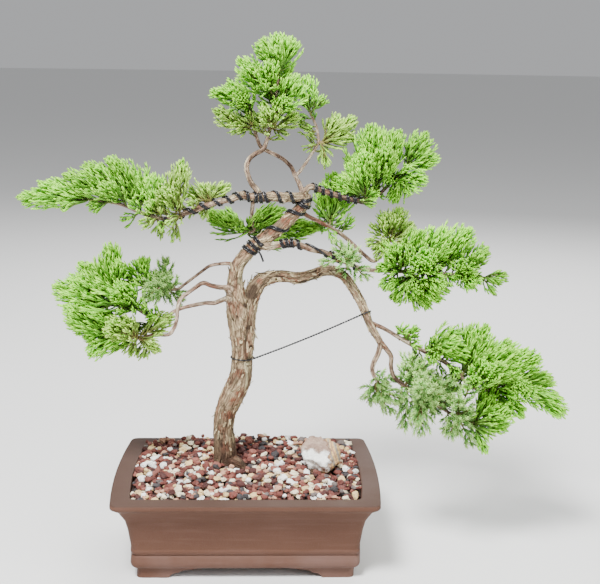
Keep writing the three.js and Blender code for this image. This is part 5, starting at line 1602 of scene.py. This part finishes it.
class BONSAI_OT_foliage(bpy.types.Operator):
    """Grows every spray of scale leaves and needles on its limb"""

    bl_idname = "bonsai.foliage"
    bl_label = "Foliage"

    def execute(self, context):
        self.settings = context.scene.bonsai_foliage
        self.rng = rng = np.random.default_rng(self.settings.seed)
        radius = self.settings.cord_radius
        self.leader = Cord([(grow_stem(1, 1, 9, 5, 0.3), 0.0)], 1)
        self.scale_cords, self.needle_cords = (
            [(length * MM, [model(rng, length * MM, parts, radius) for _ in range(draws)])
             for length, parts in table]
            for model, table, draws in ((scale_cord, SCALE_CORDS, 3), (needle_cord, NEEDLE_CORDS, 2)))
        leaves = juniper_leaves(self.settings)
        self.limbs = {name: Limb(name) for name in LIMBS}
        for spray in SPRAYS:
            keep(self.grow_spray(*spray), leaves, "foliage", spray[0])
        return {"FINISHED"}

    def grow_spray(self, name, kind, limb_name, station, plumes):
        limb = self.limbs[limb_name]
        point, along = limb.at(station)[:2]
        tips = [np.array(in_frame(plume)) for plume in plumes]
        outward = along
        if station < limb.last:
            outward = square_to(np.mean(tips, axis=0) - point, along)
        outward = unit(outward)
        self.spray = Spray()
        for tip, plume in zip(tips, plumes):
            tone = self.rng.uniform(0.2, 0.8)
            # These sprays take the darkest tone, as painted shade.
            if name in SPRAYS_IN_PAINTED_SHADE:
                tone = 1.0
            leader = leader_line(point, outward, tip)
            half_width = plume[3] * MM * self.settings.fullness
            drift = leader.along[-1] * COMBED[kind]
            self.add_stem(leader, self.settings.leader_radius, tone, kind)
            self.grow_cords(leader, half_width, kind, tone, drift)
            count = max(int(leader.length / self.settings.branchlet_spacing), 2)
            lines = side_lines(
                self.rng, leader, count, half_width, (0.12, 0.8), (56, 30), SHORTEST_BRANCHLET * MM, drift)
            for root, bend, end, _ in lines:
                self.grow_branchlet(side_stem(root, bend, end), kind, tone, drift)
        for shoot in self.shoots(limb, limb_name, station):
            drift = shoot.along[-1] * COMBED[kind]
            self.grow_branchlet(shoot, kind, self.rng.uniform(0.2, 0.8), drift)
        return self.spray.build(f"{name}_leaves")

    def add_stem(self, stem, radius, tone, kind):
        self.spray.stems.append((self.leader, stem.bend(self.leader, radius), tone, kind))

    def grow_branchlet(self, branchlet, kind, tone, drift):
        tone = float(np.clip(tone + self.rng.uniform(-0.2, 0.2), 0, 1))
        self.add_stem(branchlet, self.settings.leader_radius * 0.6, tone, kind)
        least, most = BRANCHLET_WIDTH
        half_width = clamp(0.42 * branchlet.length, least * MM, most * MM)
        self.grow_cords(branchlet, half_width, kind, tone, drift)

    def shoots(self, limb, limb_name, station):
        """The short side stems that clothe the limb on both sides of a spray's foot."""
        rng = self.rng
        feet = [row[3] for row in SPRAYS if row[2] == limb_name]
        low = max([foot for foot in feet if foot < station], default=station - 2)
        high = min([foot for foot in feet if foot > station], default=min(station + 1, limb.last))
        first, last = max((low + station) / 2, station - 1), min((high + station) / 2, station + 1)
        start, end = limb.at(first)[0], limb.at(last)[0]
        count = int(np.linalg.norm(end - start) / self.settings.shoot_spacing)
        for number in range(count):
            point, along, across, beside, _ = limb.at(first + (last - first) * (number + 0.5) / count)
            outward = swing(across, beside, rng.uniform(0, 2 * math.pi)) + np.array([0, 0, SHOOT_LIFT])
            outward = unit(square_to(outward, along))
            way = unit(along * rng.uniform(0.2, 0.9) + outward)
            length = rng.uniform(*SHOOT_LENGTH) * MM
            yield side_stem(point, point + outward * 0.4 * length, point + way * length)

    def grow_cords(self, stem, half_width, kind, tone, drift):
        rng = self.rng
        needles = kind == NEEDLE
        families = self.needle_cords if needles else self.scale_cords
        dense = 1.35 if needles else 0.75 if stem.length > LONG_STEM * MM else 1.2
        count = int(stem.length / (self.settings.cord_spacing * dense))
        angles = (58, 36) if needles else (46, 18)
        for root, bend, tip, share in side_lines(
                rng, stem, count, half_width, (0.08, 0.97), angles, SHORTEST_CORD * MM, drift):
            length = np.linalg.norm(tip - root)
            if needles and length > LONGEST_NEEDLE_CORD * MM:
                bend, tip = (root + (end - root) * LONGEST_NEEDLE_CORD * MM / length for end in (bend, tip))
            shapes = min(families, key=lambda family: abs(family[0] - length))[1]
            shape = shapes[rng.integers(len(shapes))]
            cord_tone = float(np.clip(tone + rng.uniform(-0.22, 0.22), 0, 1))
            cord_kind = kind if needles else clamp(kind + 0.9 * (0.35 - share) * rng.uniform(0, 2))
            row = (root, bend, tip, rng.uniform(0, 2 * math.pi), cord_tone, cord_kind, 0.08 + 0.3 * share)
            self.spray.cords.setdefault(shape, []).append(row)


# The stage


def add_camera(scene):
    yaw, pitch, roll = (math.radians(angle) for angle in (CAMERA_YAW, CAMERA_PITCH, CAMERA_ROLL))
    ahead = Vector((math.sin(yaw) * math.cos(pitch), math.cos(yaw) * math.cos(pitch), -math.sin(pitch)))
    level = Vector((math.cos(yaw), -math.sin(yaw), 0))
    upright = level.cross(ahead)
    right, top = swing(level, upright, roll), swing(upright, level, -roll)
    data = bpy.data.cameras.new("photo_camera")
    data.sensor_fit = "HORIZONTAL"
    data.sensor_width = 36
    data.lens = CAMERA_LENS
    data.clip_start = 0.01
    data.clip_end = 60
    camera = bpy.data.objects.new("photo_camera", data)
    turn = Matrix((right, top, -ahead)).transposed().to_4x4()
    camera.matrix_world = Matrix.Translation(in_frame(CAMERA_PLACE)) @ turn
    scene.collection.objects.link(camera)
    scene.camera = camera


class BONSAI_OT_stage(bpy.types.Operator):
    """Sets the pale floor, the soft lights and the camera"""

    bl_idname = "bonsai.stage"
    bl_label = "Stage"

    def execute(self, context):
        scene = context.scene
        settings = scene.bonsai_stage
        clear_selection()
        bpy.ops.mesh.primitive_circle_add(vertices=96, radius=40, fill_type="NGON")
        floor = named("stage_floor")
        floor.data.materials.append(Recipe("pale_floor").finish(settings.floor, 0.9))
        scene.world = bpy.data.worlds.new("soft_room")
        scene.world.use_nodes = True
        background = scene.world.node_tree.nodes["Background"].inputs
        background["Color"].default_value = WORLD_COLOUR
        background["Strength"].default_value = WORLD_STRENGTH
        for name, (place, size, share) in LIGHTS.items():
            data = bpy.data.lights.new(name, "AREA")
            data.energy = settings.key_power * share
            data.size = size
            light = bpy.data.objects.new(name, data)
            light.location = place
            light.rotation_euler = (Vector(LIT_POINT) - Vector(place)).to_track_quat("-Z", "Y").to_euler()
            scene.collection.objects.link(light)
        add_camera(scene)
        return {"FINISHED"}


class BONSAI_PT_panel(bpy.types.Panel):
    """Lists the steps that build the bonsai"""

    bl_idname = "BONSAI_PT_panel"
    bl_label = "Juniper Bonsai"
    bl_space_type = "VIEW_3D"
    bl_region_type = "UI"
    bl_category = "Bonsai"

    def draw(self, context):
        for step in STEPS:
            self.layout.operator(step.bl_idname)


SETTINGS = {
    "bonsai_pot": PotSettings, "bonsai_gravel": GravelSettings, "bonsai_rock": RockSettings,
    "bonsai_wood": WoodSettings, "bonsai_wire": WireSettings, "bonsai_foliage": FoliageSettings,
    "bonsai_stage": StageSettings,
}
STEPS = (
    BONSAI_OT_stage, BONSAI_OT_pot, BONSAI_OT_soil, BONSAI_OT_gravel, BONSAI_OT_rock, BONSAI_OT_wood,
    BONSAI_OT_training_wires, BONSAI_OT_tie_wire, BONSAI_OT_foliage,
)


def register():
    for name, group in SETTINGS.items():
        bpy.utils.register_class(group)
        setattr(bpy.types.Scene, name, PointerProperty(type=group))
    for shown in (*STEPS, BONSAI_PT_panel):
        bpy.utils.register_class(shown)


def unregister():
    for shown in reversed((*STEPS, BONSAI_PT_panel)):
        bpy.utils.unregister_class(shown)
    for name, group in reversed(SETTINGS.items()):
        delattr(bpy.types.Scene, name)
        bpy.utils.unregister_class(group)


def main():
    register()
    bpy.ops.bonsai.stage()
    bpy.ops.bonsai.pot()
    bpy.ops.bonsai.soil()
    bpy.ops.bonsai.gravel()
    bpy.ops.bonsai.rock()
    bpy.ops.bonsai.wood()
    bpy.ops.bonsai.training_wires()
    bpy.ops.bonsai.tie_wire()
    bpy.ops.bonsai.foliage()


if __name__ == "__main__":
    main()
